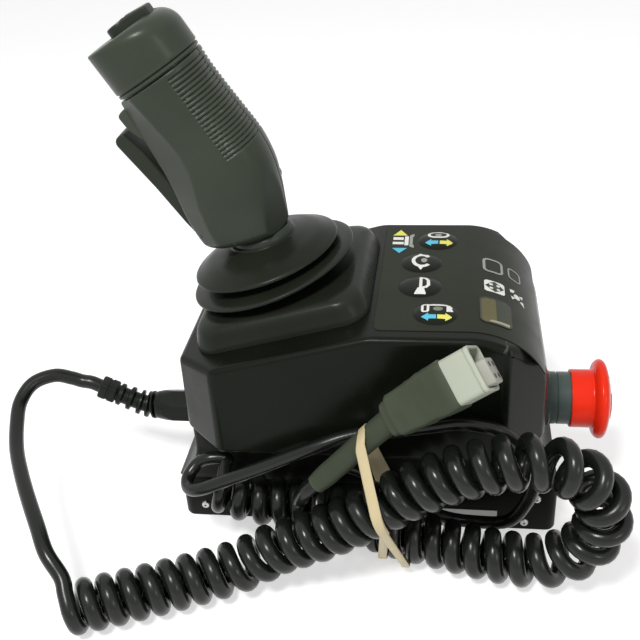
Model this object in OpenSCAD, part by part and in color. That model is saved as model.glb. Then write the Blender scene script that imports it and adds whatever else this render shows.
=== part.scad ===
// Hand control box of a scissor lift: moulded housing, joystick with boot and grip,
// emergency stop, membrane keys and a curly cord that ends in a four-way connector.
// X runs from the joystick end to the emergency stop, Y runs away from the near side, Z is up.

/* [Housing] */
// Length of the housing between its end walls
body_l = 172; // [160:1:190]
// Depth of the housing across the keys
body_w = 117; // [110:1:130]
// Leg of the 45 degree chamfers on the upright corners
corner_cut = 20; // [12:1:24]
// Height of the flat key face above the table
top_h = 124; // [116:1:134]
// How far the joystick face drops to its low end
face_drop = 24.5; // [20:0.5:28]
// Slope of the joystick face
face_tilt = 15; // [12:0.5:18]
// Radius of the rolled end above the emergency stop
crown_r = 37; // [25:1:40]
// Radius of the upright edges
edge_r = 3; // [1:0.5:5]
// Thickness of the moulded walls
wall = 3; // [2.4:0.1:3.6]
// Height of the underside of the overhanging upper part
skirt_h = 58; // [54:1:62]

/* [Base] */
// Depth of the neck and of the foot
neck_w = 76.8; // [70:0.2:84]
// Setback of the neck from the end walls
neck_inset = 1.5; // [0.5:0.5:3]
// Length of the foot
foot_l = 190; // [184:1:200]
// Height of the foot, where the housing parts from the tray
foot_h = 27; // [22:1:30]
// Radius of the foot's upright corners
foot_r = 5; // [2:0.5:8]
// Height at which the flare over the foot begins
flare_h = 46; // [40:1:52]
// Thickness of the tray floor
floor_t = 4; // [3:0.5:6]
// Distance between the mounting holes along the foot
mount_dx = 180; // [170:1:180]
// Distance between the mounting holes across the foot
mount_dy = 50; // [40:1:60]
// Diameter of the blind mounting holes, tapped M6
mount_d = 5; // [4:0.1:6]
// Depth of the mounting holes
mount_depth = 14; // [8:1:20]

/* [Keys] */
// Diameter of the domed keys
key_d = 20; // [16:0.5:22]
// Height of a dome above the overlay
key_dome = 1.4; // [0.6:0.1:2]
// Travel of a key
key_travel = 0.6; // [0.3:0.1:0.8]
// Thickness of the membrane overlay
overlay_t = 0.8; // [0.5:0.1:1.2]
// Distance of the film's edge from the side of the housing
overlay_in = 7.5; // [6:0.5:12]

/* [Joystick] */
// Place of the lever along the sloping face
joy_x = -37.5; // [-42:0.5:-34]
// Depth of the lever's pivot below the face
pivot_drop = 12; // [10:0.5:14]
// Diameter of the pivot pin
pivot_d = 6; // [5:0.5:7]
// Diameter of the lever shaft
lever_d = 10; // [8:0.5:12]
// Tilt of the lever to each side
lever_tilt = 18; // [12:1:18]
// Length of the boot's base along the face
boot_l = 85; // [76:1:88]
// Width of the boot's base across the face
boot_w = 87; // [78:1:90]
// Diameter of the upper fold
fold_d = 73; // [60:1:76]

/* [Grip] */
// Height of the grip's lower end above the face
grip_low = 37.5; // [34:0.5:42]
// Height of the seam under the grip's cap
grip_seam = 120; // [110:1:126]
// Height of the cap along the grip
cap_h = 20; // [16:1:24]
// Lean of the grip's head against the lever
grip_lean = 16; // [8:1:18]
// Width of the grip from side to side
grip_w = 40; // [34:1:44]
// Travel of the trigger
trigger_swing = 6; // [3:0.5:7]
// Tilt of the thumb rocker to each side
rocker_swing = 10; // [6:1:12]

/* [Emergency stop] */
// Height of the button's axis
stop_h = 54.7; // [52:0.1:57]
// Diameter of the mushroom head
stop_head_d = 40; // [34:1:44]
// Diameter of the head's skirt
stop_skirt_d = 29.3; // [28.5:0.1:32]
// Diameter of the collar
stop_collar_d = 26.5; // [25:0.1:27]
// Travel of the button
stop_travel = 5; // [3:0.5:6]

/* [Cord] */
// Diameter of the straight cord at the gland
cord_d = 7.4; // [5:0.1:7.6]
// Diameter of the thinner lead between the curls and the connector
lead_d = 6.4; // [5:0.1:7]
// Diameter of the cord in the curls
curl_wire_d = 8; // [6:0.1:8.2]
// Radius from the axis of the curls to the cord's centre
curl_r = 8.8; // [8.6:0.1:9]
// Pitch of the curls where the cord lies straight
curl_pitch = 9.1; // [9:0.1:11]
// Height of the cable gland's axis
gland_h = 43; // [40:1:46]

/* [Connector] */
// Diameter of the connector's shell
plug_d = 21; // [18:0.5:21.5]
// Length of the connector's shell
plug_l = 18; // [14:1:20]
// Diameter of the boot behind it
plug_boot_d = 18.4; // [16:0.5:19]
// Width of the rubber band
band_w = 5; // [3:0.5:7]

/* [Hidden] */
$fn = 64;

// Overrun of every cut
over = 0.5;
// Gap of a running fit, on the radius
fit = 0.05;
// Gap between seated pieces of one assembly
seat = 0.1;
// Gap between soft or curved pieces
clear = 0.3;
// Share of a hexagon's width over its flats in its width over its corners
hex_share = 1.1547;

half_l = body_l / 2;
half_w = body_w / 2;
low_h = top_h - face_drop;
crown_x = half_l - crown_r;
crown_z = top_h - crown_r;
knee_x = -half_l + (top_h - low_h) / tan(face_tilt);
joy_z = low_h + (joy_x + half_l) * tan(face_tilt);
neck_l = body_l - 2 * neck_inset;

// Bosses that take the four long screws
boss_d = 12;
boss_bite = 1;
screw_d = 4;
screw_gap = 0.1;
screw_head_d = 7.6;
screw_head_h = 4;
boss_x = neck_l / 2 - wall - boss_d / 2 + boss_bite;
boss_y = neck_w / 2 - wall - boss_d / 2 + boss_bite;
gasket_t = 1;
gasket_in = 0.5;
boss_rise = 20;
boss_top = skirt_h + boss_rise;
pilot_rise = 40;

// Circuit board in the tray
board_gap = 9;
board_z = floor_t + board_gap;
board_t = 1.6;
board_l = 118;
board_w = 62;
post_d = 7;
post_hole_d = 2.6;
board_screw_d = 2.5;
small_head_d = 4.6;
small_head_h = 1.8;
board_in = [7, 6];
board_dx = board_l - 2 * board_in.x;
board_dy = board_w - 2 * board_in.y;
relay = [19, 15, 15];
header = [40, 8, 9];
drum_d = 10;
drum_h = 14;

// Overlay and keys
overlay_proud = 0.3;
overlay_start = 2.5;
overlay_sweep = 66;
overlay_w = body_w - 2 * overlay_in;
pocket = overlay_t - overlay_proud;
key_x = 27;
key_step_y = 24;
drive_x = 34.5;
drive_in = 22.1;
drive_y = half_w - drive_in;
key_cap_t = 1.5;
key_gap = 0.4;
stem_d = 5;
stem_gap = 0.5;
switch_h = 3.7;
switch_w = 6;
key_board_drop = 8.5;
key_board_t = 1.6;
key_board_x = 30;
key_board_l = 34;
key_board_in = 9.5;
key_board_w = body_w - 2 * key_board_in;
key_z = top_h + overlay_proud;
key_board_z = top_h - key_board_drop - key_board_t;
key_post_dx = 26;
key_post_in = 7;
key_post_dy = key_board_w - 2 * key_post_in;
key_places = [[key_x, -key_step_y / 2], [key_x, key_step_y / 2], [drive_x, -drive_y], [drive_x, drive_y]];

// Display in the rolled end
window_w = 21.2;
window_in = 27.5;
window_y = window_in - half_w;
window_from = 12;
window_to = 33;
window_gap = 0.15;
module_t = 6;
module_drop = 1;
module_l = 16;

// Joystick mechanism, in the frame of the sloping face
joy_hole_d = 46;
cheek_t = 6;
cheek_in = 17;
cheek_w = 24;
cheek_drop = 22;
plate_t = 4;
plate_l = 62;
plate_w = 60;
gimbal_screw_dx = 52;
gimbal_screw_dy = 50;
hub_d = 18;
hub_l = 24;
lever_top = 92;
spring_wire = 1.2;
spring_r = 6.5;
spring_turns = 2.5;
spring_room = 0.5;
sensor_t = 9;
sensor_w = 20;
sensor_h = 9.6;

// Boot, in the frame of the sloping face
boot_edge_t = 3;
boot_edge_r = 12;
skirt_in = 6;
boot_shift = 1.8;
skirt_rise = 12;
rubber_t = 2;
neck_d = 40;
low_fold_d = 80;
low_fold_z = 17.5;
top_fold_z = 26;
fold_t = 3.6;
groove_d = 52;
collar_z = 33.4;
collar_t = 4;
collar_d = 30;

// Grip sections from its lower end to the seam: share of the height, centre along the face,
// half the width along the face and share of the width across it
grip_rows = [
    [0.00, -7.5, 21.0, 0.86], [0.10, -8.0, 22.5, 0.92], [0.22, -8.0, 24.0, 0.96],
    [0.36, -8.0, 24.6, 1.00], [0.50, -9.2, 24.2, 1.00], [0.64, -12.0, 23.1, 1.00],
    [0.78, -15.1, 22.0, 1.00], [0.90, -17.5, 21.2, 1.00], [1.00, -19.2, 20.9, 1.00]
];
grip_points = 40;
square_share = 0.78;
grip_screw_x = 10;
grip_screw_z = [58];
switch_size = [10, 6, 16];
switch_at = [-20, 0, 78];
cap_gap = 0.8;
cap_over = -0.4;
cap_neck = 1.6;
head_shift = 0.6;
cap_round = 6;

// Thumb rocker on the cap
rocker_l = 19;
rocker_w = 15;
rocker_h = 5.6;
rocker_dip = 26;
rocker_pin_d = 2.5;
rocker_sink = 5;
rocker_gap = 0.5;

// Trigger, as a profile in the frame of the sloping face
trigger_w = 13;
trigger_gap = 0.6;
trigger_pin_d = 3;
trigger_pin_l = 24;
trigger_at = [-25, 46];
trigger_line = [
    [-28.5, 40], [-33.5, 52], [-40.5, 72], [-50.3, 96.3], [-49.6, 98.9], [-44.8, 101], [-39, 90],
        [-32.5, 73], [-27.5, 56], [-22, 43]
];
trigger_slot = [
    [-37, 36], [-38.5, 52], [-50, 70], [-64, 100], [-44, 104.5], [-35.5, 104.5], [-33, 92], [-27.5, 73],
        [-23, 58],
    [-18.5, 50], [-18.5, 36]
];
guard_line = [[-36, 106.3], [-40.6, 106.1], [-42, 108.6], [-38.4, 114], [-34, 114]];
guard_w = 16;

// Emergency stop, along its own axis from the wall outwards
pad_d = 38;
stop_hole_d = 22.5;
stop_neck_d = 22;
stop_gasket_t = 1;
stop_flange_t = 4;
stop_flange_d = 28;
stop_collar_l = 17;
stop_skirt_x = 15.3;
stop_skirt_l = 12.5;
stop_dome = 3.4;
stop_edge = 4.6;
stop_stem_d = 12;
stop_nut_t = 5;
stop_nut_w = 28;
stop_inner = 14;
contact_l = 20;
contact_w = 30;
contact_h = 26;
skirt_gap = 0.4;
dome_shares = [0.55, 0.9];

// Cable gland, along its axis from the neck outwards
gland_hole_d = 12.4;
gland_thread_d = 12;
gland_hex = 17;
gland_hex_l = 6;
gland_cap_l = 24;
gland_cap_d = 16;
gland_inner = 8;
locknut_w = 18;
locknut_t = 4;
relief_ribs = 5;
relief_start_d = 15;
relief_end_d = 11;
relief_groove = 1.5;
relief_sides = 16;
relief_clamp_l = 8;
relief_clamp_w = 10.5;

// Route of the cord from the relief to the curls
relief_route = [[-115, 0, 43.0], [-119, 0, 43.0], [-124, 0, 44.4], [-130.5, 0, 47.3], [-137, 0, 50.4]];
// Gap where two lengths of cord meet face to face
butt = 0.35;
clamp_route = [[-137, 0, 50.4], [-145, 0, 54.2]];
tail_route = [
    [-145.2, 0, 54.3], [-149.7, 0, 56.4], [-155.1, 0.0, 57.3], [-160.1, -0.7, 59.5], [-168.2, -3.5, 62.8],
    [-177.8, -10.0, 61.8], [-181.9, -20.0, 56.8], [-179.7, -33.0, 51.6], [-174.4, -48.0, 47.5],
    [-165.8, -64.0, 45.1], [-156.6, -79.0, 42.8], [-147.4, -93.0, 39.9], [-139.4, -105.0, 35.2]
];
// Axis of the curls: along the table, up past the connector, round and back under the overhang
curl_route = [
    [-127.5, -116.8, 13.2], [-113, -111, 13.2], [-98, -105, 13.2], [-75, -95, 13.2], [-54, -87.5, 16],
    [-35, -84, 25.5], [-16, -83, 34], [5, -82, 46], [24, -81, 59], [41, -80, 68], [58, -80.5, 75],
    [76, -81, 78.5], [90, -81, 76], [102, -80, 67.5], [108.5, -79, 54], [108, -78, 40], [101.5, -77, 27],
    [90, -75.5, 18], [78, -74, 14.8], [60, -71, 14.6], [40, -66, 15], [18, -62, 17], [-2, -57.2, 20],
    [-24, -53.5, 23.5], [-43, -53, 25.3], [-53, -53.2, 27], [-62, -53.6, 30], [-70, -54, 33.5]
];
lead_route = [
    [-75, -47.8, 46.5], [-81, -48.5, 43.5], [-85, -54, 39.5], [-83, -61, 38.5], [-76, -65.5, 42],
    [-63, -66, 48.3], [-45.3, -66, 57], [-21.3, -65, 68.5], [-3.3, -62, 74.4], [14, -62, 77.6],
    [33, -62, 81.1], [46.5, -62.8, 84], [60.9, -62.8, 81.5], [69.4, -62.8, 75.8], [77.4, -62.5, 64.6],
    [80.2, -60.5, 50.3], [78.2, -56.5, 34.6], [70.4, -52, 18], [54, -48, 13], [40, -45.6, 13],
    [26, -43.6, 18], [12, -42.6, 28], [0, -43, 37.5], [-12, -47, 44.5], [-21, -54.5, 43.5],
    [-26, -63, 41.5], [-27, -70.5, 43.5], [-25.5, -77.5, 48.5]
];
wire_sides = 6;
// Turn at which the curls begin, from the top, and part of a curl left over at the end
start_turn = 0.14;
end_turn = 0.25;
curl_rings = 8;
tube_sides = 10;

// Connector: end of the slim boot, bend and axis of the wide part
plug_tail = [-17, -80.5, 61.2];
plug_bend = [16.1, -75.5, 94.1];
plug_dir = [0.828, 0.035, 0.56];
slim_d = 11.4;
backshell_l = 31;
shell_wall = 1.6;
wedge_l = 9;
contact_d = 1.6;
contact_step = 5;
wedge_share = 0.62;

// Rubber band: for each turn the upper and the lower run of curls across X, and its place below
band_t = 0.8;
band_top = [-76.9, 88.6];
band_top_x = 8;
band_turns = [[[-81.4, 53], [-63.4, 16.3], 25], [[-81.6, 50], [-61.4, 17.4], 15]];

function unit(v) = v / norm(v);
function mix(a, b, t) = a + (b - a) * t;
function smooth(t) = (1 - cos(180 * max(0, min(1, t)))) / 2;

// Corners of a rectangle with cut corners
function octagon(l, w, cut) = [
    [l / 2, cut - w / 2], [l / 2, w / 2 - cut], [l / 2 - cut, w / 2], [cut - l / 2, w / 2],
    [-l / 2, w / 2 - cut], [-l / 2, cut - w / 2], [cut - l / 2, -w / 2], [l / 2 - cut, -w / 2]
];

// Plan with chamfered corners whose edges are rounded
module rounded_plan(l, w, cut, r) {
    core = octagon(l - 2 * r, w - 2 * r, cut - r * (2 - sqrt(2)));
    polygon(core);
    for (i = [0:7]) {
        next = core[(i + 1) % 8];
        out = unit([next.y - core[i].y, core[i].x - next.x]) * r;
        translate(core[i]) circle(r);
        polygon([core[i], core[i] + out, next + out, next]);
    }
}

module along_y(w) { rotate([90, 0, 0]) linear_extrude(w, center = true) children(); }
module along_x(x) { translate([x, 0, 0]) rotate([0, 90, 0]) children(); }
// Plan of the foot, drawn in by inset
module foot_plan(inset) { offset(foot_r - inset)
    square([foot_l - 2 * foot_r, neck_w - 2 * foot_r], center = true); }
module at_corners(dx, dy) { for (x = [-1, 1], y = [-1, 1]) translate([x * dx / 2, y * dy / 2, 0])
    children(); }
module on_face() { translate([joy_x, 0, joy_z]) rotate([0, -face_tilt, 0]) children(); }

// Side view of the upper housing, drawn in by inset
module side_profile(inset, low) {
    drop = inset / cos(face_tilt);
    left = -half_l + inset;
    knee = knee_x + (drop - inset) / tan(face_tilt);
    polygon([
        [left, low], [left, low_h - drop + inset * tan(face_tilt)], [knee, top_h - inset],
        [crown_x, top_h - inset], [crown_x, crown_z], [half_l - inset, crown_z], [half_l - inset, low]
    ]);
    translate([crown_x, crown_z]) intersection() {
        circle(crown_r - inset, $fn = 128);
        translate([-over, -over]) square(crown_r - inset + over);
    }
}

// Block under the overhang, with its flares over the foot
module neck_block() {
    reach = (foot_l - neck_l) / 2;
    rise = flare_h - foot_h;
    flare_r = (reach * reach + rise * rise) / (2 * reach);
    intersection() {
        linear_extrude(top_h) foot_plan(0);
        along_y(neck_w) difference() {
            translate([-foot_l / 2, foot_h]) square([foot_l, skirt_h + over - foot_h]);
            for (side = [-1, 1]) {
                translate([side * (neck_l / 2 + flare_r), flare_h]) circle(flare_r, $fn = 128);
                translate([side * (neck_l / 2 + flare_r) - flare_r, flare_h])
                    square([2 * flare_r, skirt_h]);
            }
        }
    }
}

// Region of the overlay in the side view, between two insets
module overlay_band(outer, inner) {
    difference() {
        side_profile(outer, skirt_h);
        side_profile(inner, skirt_h - over);
        translate([-body_l, 0]) square([body_l + knee_x + overlay_start, body_l]);
        translate([crown_x, crown_z]) rotate(90 - overlay_sweep) translate([0, -body_l])
            square([body_l, body_l]);
    }
}

module main_housing() {
    inner_cut = corner_cut - wall * (2 - sqrt(2));
    color("#232527") difference() {
        union() {
            difference() {
                union() {
                    intersection() {
                        along_y(body_w) side_profile(0, skirt_h);
                        translate([0, 0, skirt_h]) linear_extrude(top_h)
                            rounded_plan(body_l, body_w, corner_cut, edge_r);
                    }
                    neck_block();
                    translate([0, 0, stop_h]) along_x(half_l - wall) cylinder(d = pad_d, h = wall);
                }
                intersection() {
                    along_y(body_w) side_profile(wall, skirt_h + wall);
                    translate([0, 0, skirt_h]) linear_extrude(top_h)
                        rounded_plan(body_l - 2 * wall, body_w - 2 * wall, inner_cut, edge_r);
                }
                translate([0, 0, foot_h - over]) linear_extrude(skirt_h + wall - foot_h + 2 * over)
                    square([neck_l - 2 * wall, neck_w - 2 * wall], center = true);
            }
            at_corners(2 * boss_x, 2 * boss_y) translate([0, 0, foot_h])
                cylinder(d = boss_d, h = boss_top - foot_h);
            translate([key_board_x, 0, key_board_z + key_board_t]) at_corners(key_post_dx, key_post_dy)
                cylinder(d = post_d, h = top_h - wall / 2 - key_board_z - key_board_t);
        }
        at_corners(2 * boss_x, 2 * boss_y) translate([0, 0, foot_h - over])
            cylinder(d = screw_d + 2 * screw_gap, h = pilot_rise + over);
        translate([key_board_x, 0, key_board_z]) at_corners(key_post_dx, key_post_dy)
            cylinder(d = post_hole_d, h = key_board_drop - wall + key_board_t);
        on_face() translate([0, 0, -2 * wall]) cylinder(d = joy_hole_d, h = 3 * wall);
        on_face() at_corners(gimbal_screw_dx, gimbal_screw_dy) translate([0, 0, -2 * wall])
            cylinder(d = screw_d + 2 * screw_gap, h = 3 * wall);
        along_y(overlay_w + 2 * seat) overlay_band(-over, pocket + fit);
        for (p = key_places) translate([p.x, p.y, key_z - key_cap_t - key_travel - seat])
            cylinder(d = key_d + 2 * key_gap, h = 2 * wall);
        for (p = key_places) translate([p.x, p.y, top_h - 2 * wall])
            cylinder(d = stem_d + 2 * stem_gap, h = 3 * wall);
        display_space(wall + over, window_gap);
        translate([0, 0, stop_h]) along_x(half_l - 2 * wall) cylinder(d = stop_hole_d, h = 3 * wall);
        translate([0, 0, stop_h]) along_x(half_l - 3 * wall)
            cylinder(d = stop_nut_w * hex_share + 2 * clear, h = 2 * wall);
        translate([0, 0, gland_h]) along_x(-neck_l / 2 - wall) cylinder(d = gland_hole_d, h = 3 * wall);
        translate([0, 0, gland_h]) along_x(-foot_l / 2)
            cylinder(d = gland_hex * hex_share + 2 * clear, h = (foot_l - neck_l) / 2);
    }
}

// Window's place in the rolled end: a slice of a ring, so deep, with a gap all round
module display_space(depth, gap) {
    translate([crown_x, window_y, crown_z]) rotate([90, 0, 0])
        linear_extrude(window_w + 2 * gap, center = true) intersection() {
        difference() {
            circle(crown_r + overlay_proud, $fn = 128);
            circle(crown_r + overlay_proud - depth, $fn = 128);
        }
        polygon([[0, 0],
            for (a = [window_from, window_to]) 2 * crown_r * [sin(a + gap * (a == window_to ? 1 : -1)),
                cos(a + gap * (a == window_to ? 1 : -1))]]);
    }
}

module base_tray() {
    tray_h = foot_h - gasket_t;
    color("#1e2022") difference() {
        union() {
            difference() {
                linear_extrude(tray_h) foot_plan(0);
                translate([0, 0, floor_t]) linear_extrude(foot_h)
                    square([neck_l - 2 * wall, neck_w - 2 * wall], center = true);
            }
            at_corners(2 * boss_x, 2 * boss_y) translate([0, 0, floor_t / 2])
                cylinder(d = boss_d, h = tray_h - floor_t / 2);
            at_corners(board_dx, board_dy) translate([0, 0, floor_t / 2])
                cylinder(d = post_d, h = board_z - floor_t / 2);
        }
        at_corners(2 * boss_x, 2 * boss_y) translate([0, 0, -over])
            cylinder(d = screw_d + 2 * screw_gap, h = foot_h + 2 * over);
        at_corners(2 * boss_x, 2 * boss_y) translate([0, 0, -over])
            cylinder(d = screw_head_d + 2 * screw_gap, h = 2 * screw_head_h + over);
        at_corners(board_dx, board_dy) translate([0, 0, floor_t]) cylinder(d = post_hole_d, h = foot_h);
        at_corners(mount_dx, mount_dy) translate([0, 0, -over])
            cylinder(d = mount_d, h = mount_depth + over);
    }
}

module tray_gasket() {
    color("#111111") translate([0, 0, foot_h - gasket_t]) linear_extrude(gasket_t) difference() {
        union() {
            difference() {
                foot_plan(gasket_in);
                square([neck_l - 2 * wall, neck_w - 2 * wall], center = true);
            }
            at_corners(2 * boss_x, 2 * boss_y) circle(d = boss_d);
        }
        at_corners(2 * boss_x, 2 * boss_y) circle(d = screw_d + 2 * screw_gap);
    }
}

// Screw with its head's underside at zero, head down
module screw(d, l, head_d, head_h) {
    translate([0, 0, -over]) cylinder(d = d, h = l + over);
    translate([0, 0, -head_h]) difference() {
        cylinder(d = head_d, h = head_h);
        translate([0, 0, -over]) cylinder(d = head_d / 2, h = head_h / 2 + over, $fn = 6);
    }
}

module housing_screws() {
    color("silver") at_corners(2 * boss_x, 2 * boss_y) translate([0, 0, 2 * screw_head_h]) screw(screw_d, foot_h + pilot_rise - 3 * screw_head_h, screw_head_d, screw_head_h);
}

module circuit_board() {
    color("#1d5a34") translate([0, 0, board_z]) linear_extrude(board_t) difference() {
        square([board_l, board_w], center = true);
        at_corners(board_dx, board_dy) circle(d = board_screw_d + 2 * fit);
    }
}

module board_relays() {
    color("#2f4f7a") translate([0, 0, board_z + board_t]) {
        for (i = [-1, 0, 1]) translate([i * 1.5 * relay.x - relay.x / 2, -relay.y / 2, 0]) cube(relay);
        translate([-header.x / 2, board_w / 2 - 1.5 * header.y, 0]) cube(header);
        for (i = [-1, 1]) translate([i * 1.5 * header.y, -1.5 * relay.y, 0])
            cylinder(d = drum_d, h = drum_h);
    }
}

module board_screws() {
    color("silver") at_corners(board_dx, board_dy) translate([0, 0, board_z + board_t]) mirror([0, 0, 1]) screw(board_screw_d, board_gap, small_head_d, small_head_h);
}

module membrane_overlay() {
    color("#2c2f31") difference() {
        along_y(overlay_w) overlay_band(-overlay_proud, pocket);
        for (p = key_places) translate([p.x, p.y, top_h - 2 * wall])
            cylinder(d = key_d + 2 * key_gap, h = 3 * wall);
        display_space(wall, window_gap);
    }
}

// Domed cap with its stem
module key(place) {
    color("#3a3d3f") translate([place.x, place.y, key_z - key_cap_t]) {
        cylinder(d = key_d, h = key_cap_t);
        translate([0, 0, key_cap_t]) intersection() {
            dome_r = (key_d * key_d / 4 + key_dome * key_dome) / (2 * key_dome);
            translate([0, 0, key_dome - dome_r]) sphere(dome_r, $fn = 128);
            cylinder(d = key_d, h = key_dome);
        }
        stem = key_z - key_cap_t - key_board_z - key_board_t - switch_h - key_travel - seat;
        translate([0, 0, -stem]) cylinder(d = stem_d, h = stem + over);
    }
}
module horn_key() { key(key_places[0]); }
module beacon_key() { key(key_places[1]); }
module drive_key_near() { key(key_places[2]); }
module drive_key_far() { key(key_places[3]); }

module key_board() {
    color("#1d5a34") difference() {
        union() {
            translate([key_board_x, 0, key_board_z + key_board_t / 2])
                cube([key_board_l, key_board_w, key_board_t], center = true);
            for (p = key_places) translate([p.x, p.y, key_board_z + key_board_t]) {
                translate([0, 0, switch_h / 4]) cube([switch_w, switch_w, switch_h / 2], center = true);
                cylinder(d = switch_w / 2, h = switch_h);
            }
        }
        translate([key_board_x, 0, key_board_z - over]) at_corners(key_post_dx, key_post_dy)
            cylinder(d = board_screw_d + 2 * fit, h = key_board_t + 2 * over);
    }
}

module key_board_screws() {
    color("silver") translate([key_board_x, 0, key_board_z]) at_corners(key_post_dx, key_post_dy) screw(board_screw_d, key_board_drop - wall, small_head_d, small_head_h);
}

module display_window() { color("#8c7d55") display_space(overlay_t, 0); }

module display_module() {
    mid = (window_from + window_to) / 2;
    color("#3c4a3a") translate([crown_x, window_y, crown_z]) rotate([0, mid, 0]) translate([0, 0, crown_r - wall - module_drop - module_t / 2]) cube([module_l, window_w, module_t], center = true);
}

// Bracket under the sloping face that carries the pivot pin
module gimbal_block() {
    color("#50565a") on_face() difference() {
        union() {
            translate([0, 0, -wall - plate_t / 2]) cube([plate_l, plate_w, plate_t], center = true);
            for (side = [-1, 1]) translate([0, side * (cheek_in + cheek_t / 2), -wall - cheek_drop / 2])
                cube([cheek_w, cheek_t, cheek_drop], center = true);
        }
        translate([0, 0, -pivot_drop]) {
            rotate([90, 0, 0]) cylinder(d = pivot_d + 2 * fit, h = plate_w, center = true);
            cube([joy_hole_d - 2 * rubber_t, 2 * cheek_in, 2 * pivot_drop], center = true);
        }
        translate([0, 0, -2 * pivot_drop]) at_corners(gimbal_screw_dx, gimbal_screw_dy)
            cylinder(d = screw_d + 2 * screw_gap, h = 2 * pivot_drop);
    }
}

module gimbal_screws() {
    color("silver") on_face() at_corners(gimbal_screw_dx, gimbal_screw_dy) translate([0, 0, -wall - plate_t]) screw(screw_d, wall + plate_t, screw_head_d, small_head_h);
}

module pivot_pin() {
    reach = cheek_in + cheek_t + sensor_t;
    color("silver") on_face() translate([0, 0, -pivot_drop]) rotate([90, 0, 0]) translate([0, 0, -reach + sensor_t / 2]) cylinder(d = pivot_d, h = 2 * reach - sensor_t);
}

// Two torsion springs on the pin, one on each side of the hub
module centring_springs() {
    room = cheek_in - hub_l / 2 - spring_wire - 2 * spring_room;
    steps = ceil(spring_turns * 12);
    color("#9aa0a4") on_face() translate([0, 0, -pivot_drop]) for (side = [-1, 1])
        tube([for (i = [0:steps]) let (t = i / steps, a = 360 * spring_turns * t)
            [spring_r * cos(a), side * (hub_l / 2 + spring_room + spring_wire / 2 + room * t),
                spring_r * sin(a)]], spring_wire / 2, 6);
}

module tilt_sensor() {
    color("#202428") on_face() translate([0, cheek_in + cheek_t + sensor_t / 2, -pivot_drop]) difference() {
        cube([sensor_w, sensor_t, sensor_h], center = true);
        rotate([90, 0, 0]) cylinder(d = pivot_d + 2 * fit, h = 2 * sensor_t, center = true);
    }
}

module lever_shaft() {
    color("silver") on_face() translate([0, 0, -pivot_drop]) difference() {
        union() {
            rotate([90, 0, 0]) cylinder(d = hub_d, h = hub_l, center = true);
            cylinder(d = lever_d, h = lever_top + pivot_drop);
        }
        rotate([90, 0, 0]) cylinder(d = pivot_d + 2 * fit, h = 2 * hub_l, center = true);
    }
}

// Outline of the boot at a height above the face, as points
function boot_ring(l, w, r, z, steps) = [for (q = [0:3], i = [0:steps])
    let (a = q * 90 + 90 * i / steps, sx = (q == 0 || q == 3) ? 1 : -1, sy = q < 2 ? 1 : -1)
    [sx * (l / 2 - r) + r * cos(a), sy * (w / 2 - r) + r * sin(a), z]];

// Solid between rings that all have the same number of points
module loft(rings) {
    n = len(rings[0]);
    m = len(rings);
    polyhedron(
        points = [for (ring = rings) each ring],
        faces = [
            [for (i = [0:n - 1]) i],
            for (k = [0:m - 2], i = [0:n - 1])
                let (j = (i + 1) % n) [k * n + i, (k + 1) * n + i, (k + 1) * n + j],
            for (k = [0:m - 2], i = [0:n - 1])
                let (j = (i + 1) % n) [k * n + i, (k + 1) * n + j, k * n + j],
            [for (i = [n - 1:-1:0]) (m - 1) * n + i]
        ]);
}

module boot_solid(inset) {
    l = boot_l - 2 * inset;
    w = boot_w - 2 * inset;
    slope_shares = [0, 0.35, 0.7, 0.9, 1];
    rise_shares = [0, 0.62, 0.9, 0.98, 1];
    extra_shares = [0, 0, 0.25, 0.7, 1.3];
    translate([boot_shift, 0, 0]) loft([
        boot_ring(l, w, boot_edge_r - inset / 2, 0, 8),
        boot_ring(l, w, boot_edge_r - inset / 2, boot_edge_t - inset / 2, 8),
        for (i = [0:4])
            boot_ring(l - 2 * skirt_in * (slope_shares[i] / 2 + extra_shares[i]),
                w - 2 * skirt_in * (slope_shares[i] / 2 + extra_shares[i]),
            boot_edge_r, boot_edge_t - inset / 2 + seat + (skirt_rise - boot_edge_t - inset / 2) * rise_shares[i], 8)
    ]);
}

module boot_skirt() {
    color("#333a37") on_face() difference() {
        translate([0, 0, seat]) boot_solid(0);
        translate([0, 0, -seat]) boot_solid(rubber_t);
        translate([0, 0, -over]) cylinder(d = neck_d, h = 2 * skirt_rise);
        at_corners(gimbal_screw_dx, gimbal_screw_dy) translate([0, 0, -over])
            cylinder(d = screw_head_d, h = boot_edge_t);
    }
}

// Folds of the boot, as one turned profile that closes on the lever's collar
module boot_bellows() {
    low = skirt_rise + 2 * seat;
    inner_d = lever_d + 2 * clear;
    color("#333a37") on_face() rotate_extrude() polygon([
        [neck_d / 2, low], [groove_d / 2, low + rubber_t],
            [low_fold_d / 2 - fold_t, low_fold_z - fold_t / 2],
        [low_fold_d / 2, low_fold_z], [low_fold_d / 2 - fold_t / 2, low_fold_z + fold_t / 2],
        [groove_d / 2 + rubber_t, top_fold_z - fold_t],
            [fold_d / 2 - fold_t / 2, top_fold_z - fold_t / 2],
        [fold_d / 2, top_fold_z], [fold_d / 2 - fold_t, top_fold_z + fold_t / 2],
        [collar_d / 2 + rubber_t, collar_z - clear], [inner_d / 2, collar_z - clear],
        [inner_d / 2, collar_z - rubber_t], [collar_d / 2, collar_z - rubber_t - clear],
        [fold_d / 2 - 2 * fold_t, top_fold_z - fold_t / 4],
            [groove_d / 2 - rubber_t, low_fold_z + fold_t / 2],
        [low_fold_d / 2 - 2 * fold_t, low_fold_z], [neck_d / 2 - rubber_t, low]
    ]);
}

module grip_collar() {
    color("#8b9090") on_face() translate([0, 0, collar_z]) difference() {
        union() {
            cylinder(d = collar_d, h = collar_t - seat);
            cylinder(d1 = collar_d, d2 = collar_d - collar_t, h = collar_t - seat);
        }
        translate([0, 0, -over]) cylinder(d = lever_d + 2 * fit, h = collar_t + 2 * over);
    }
}

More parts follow.
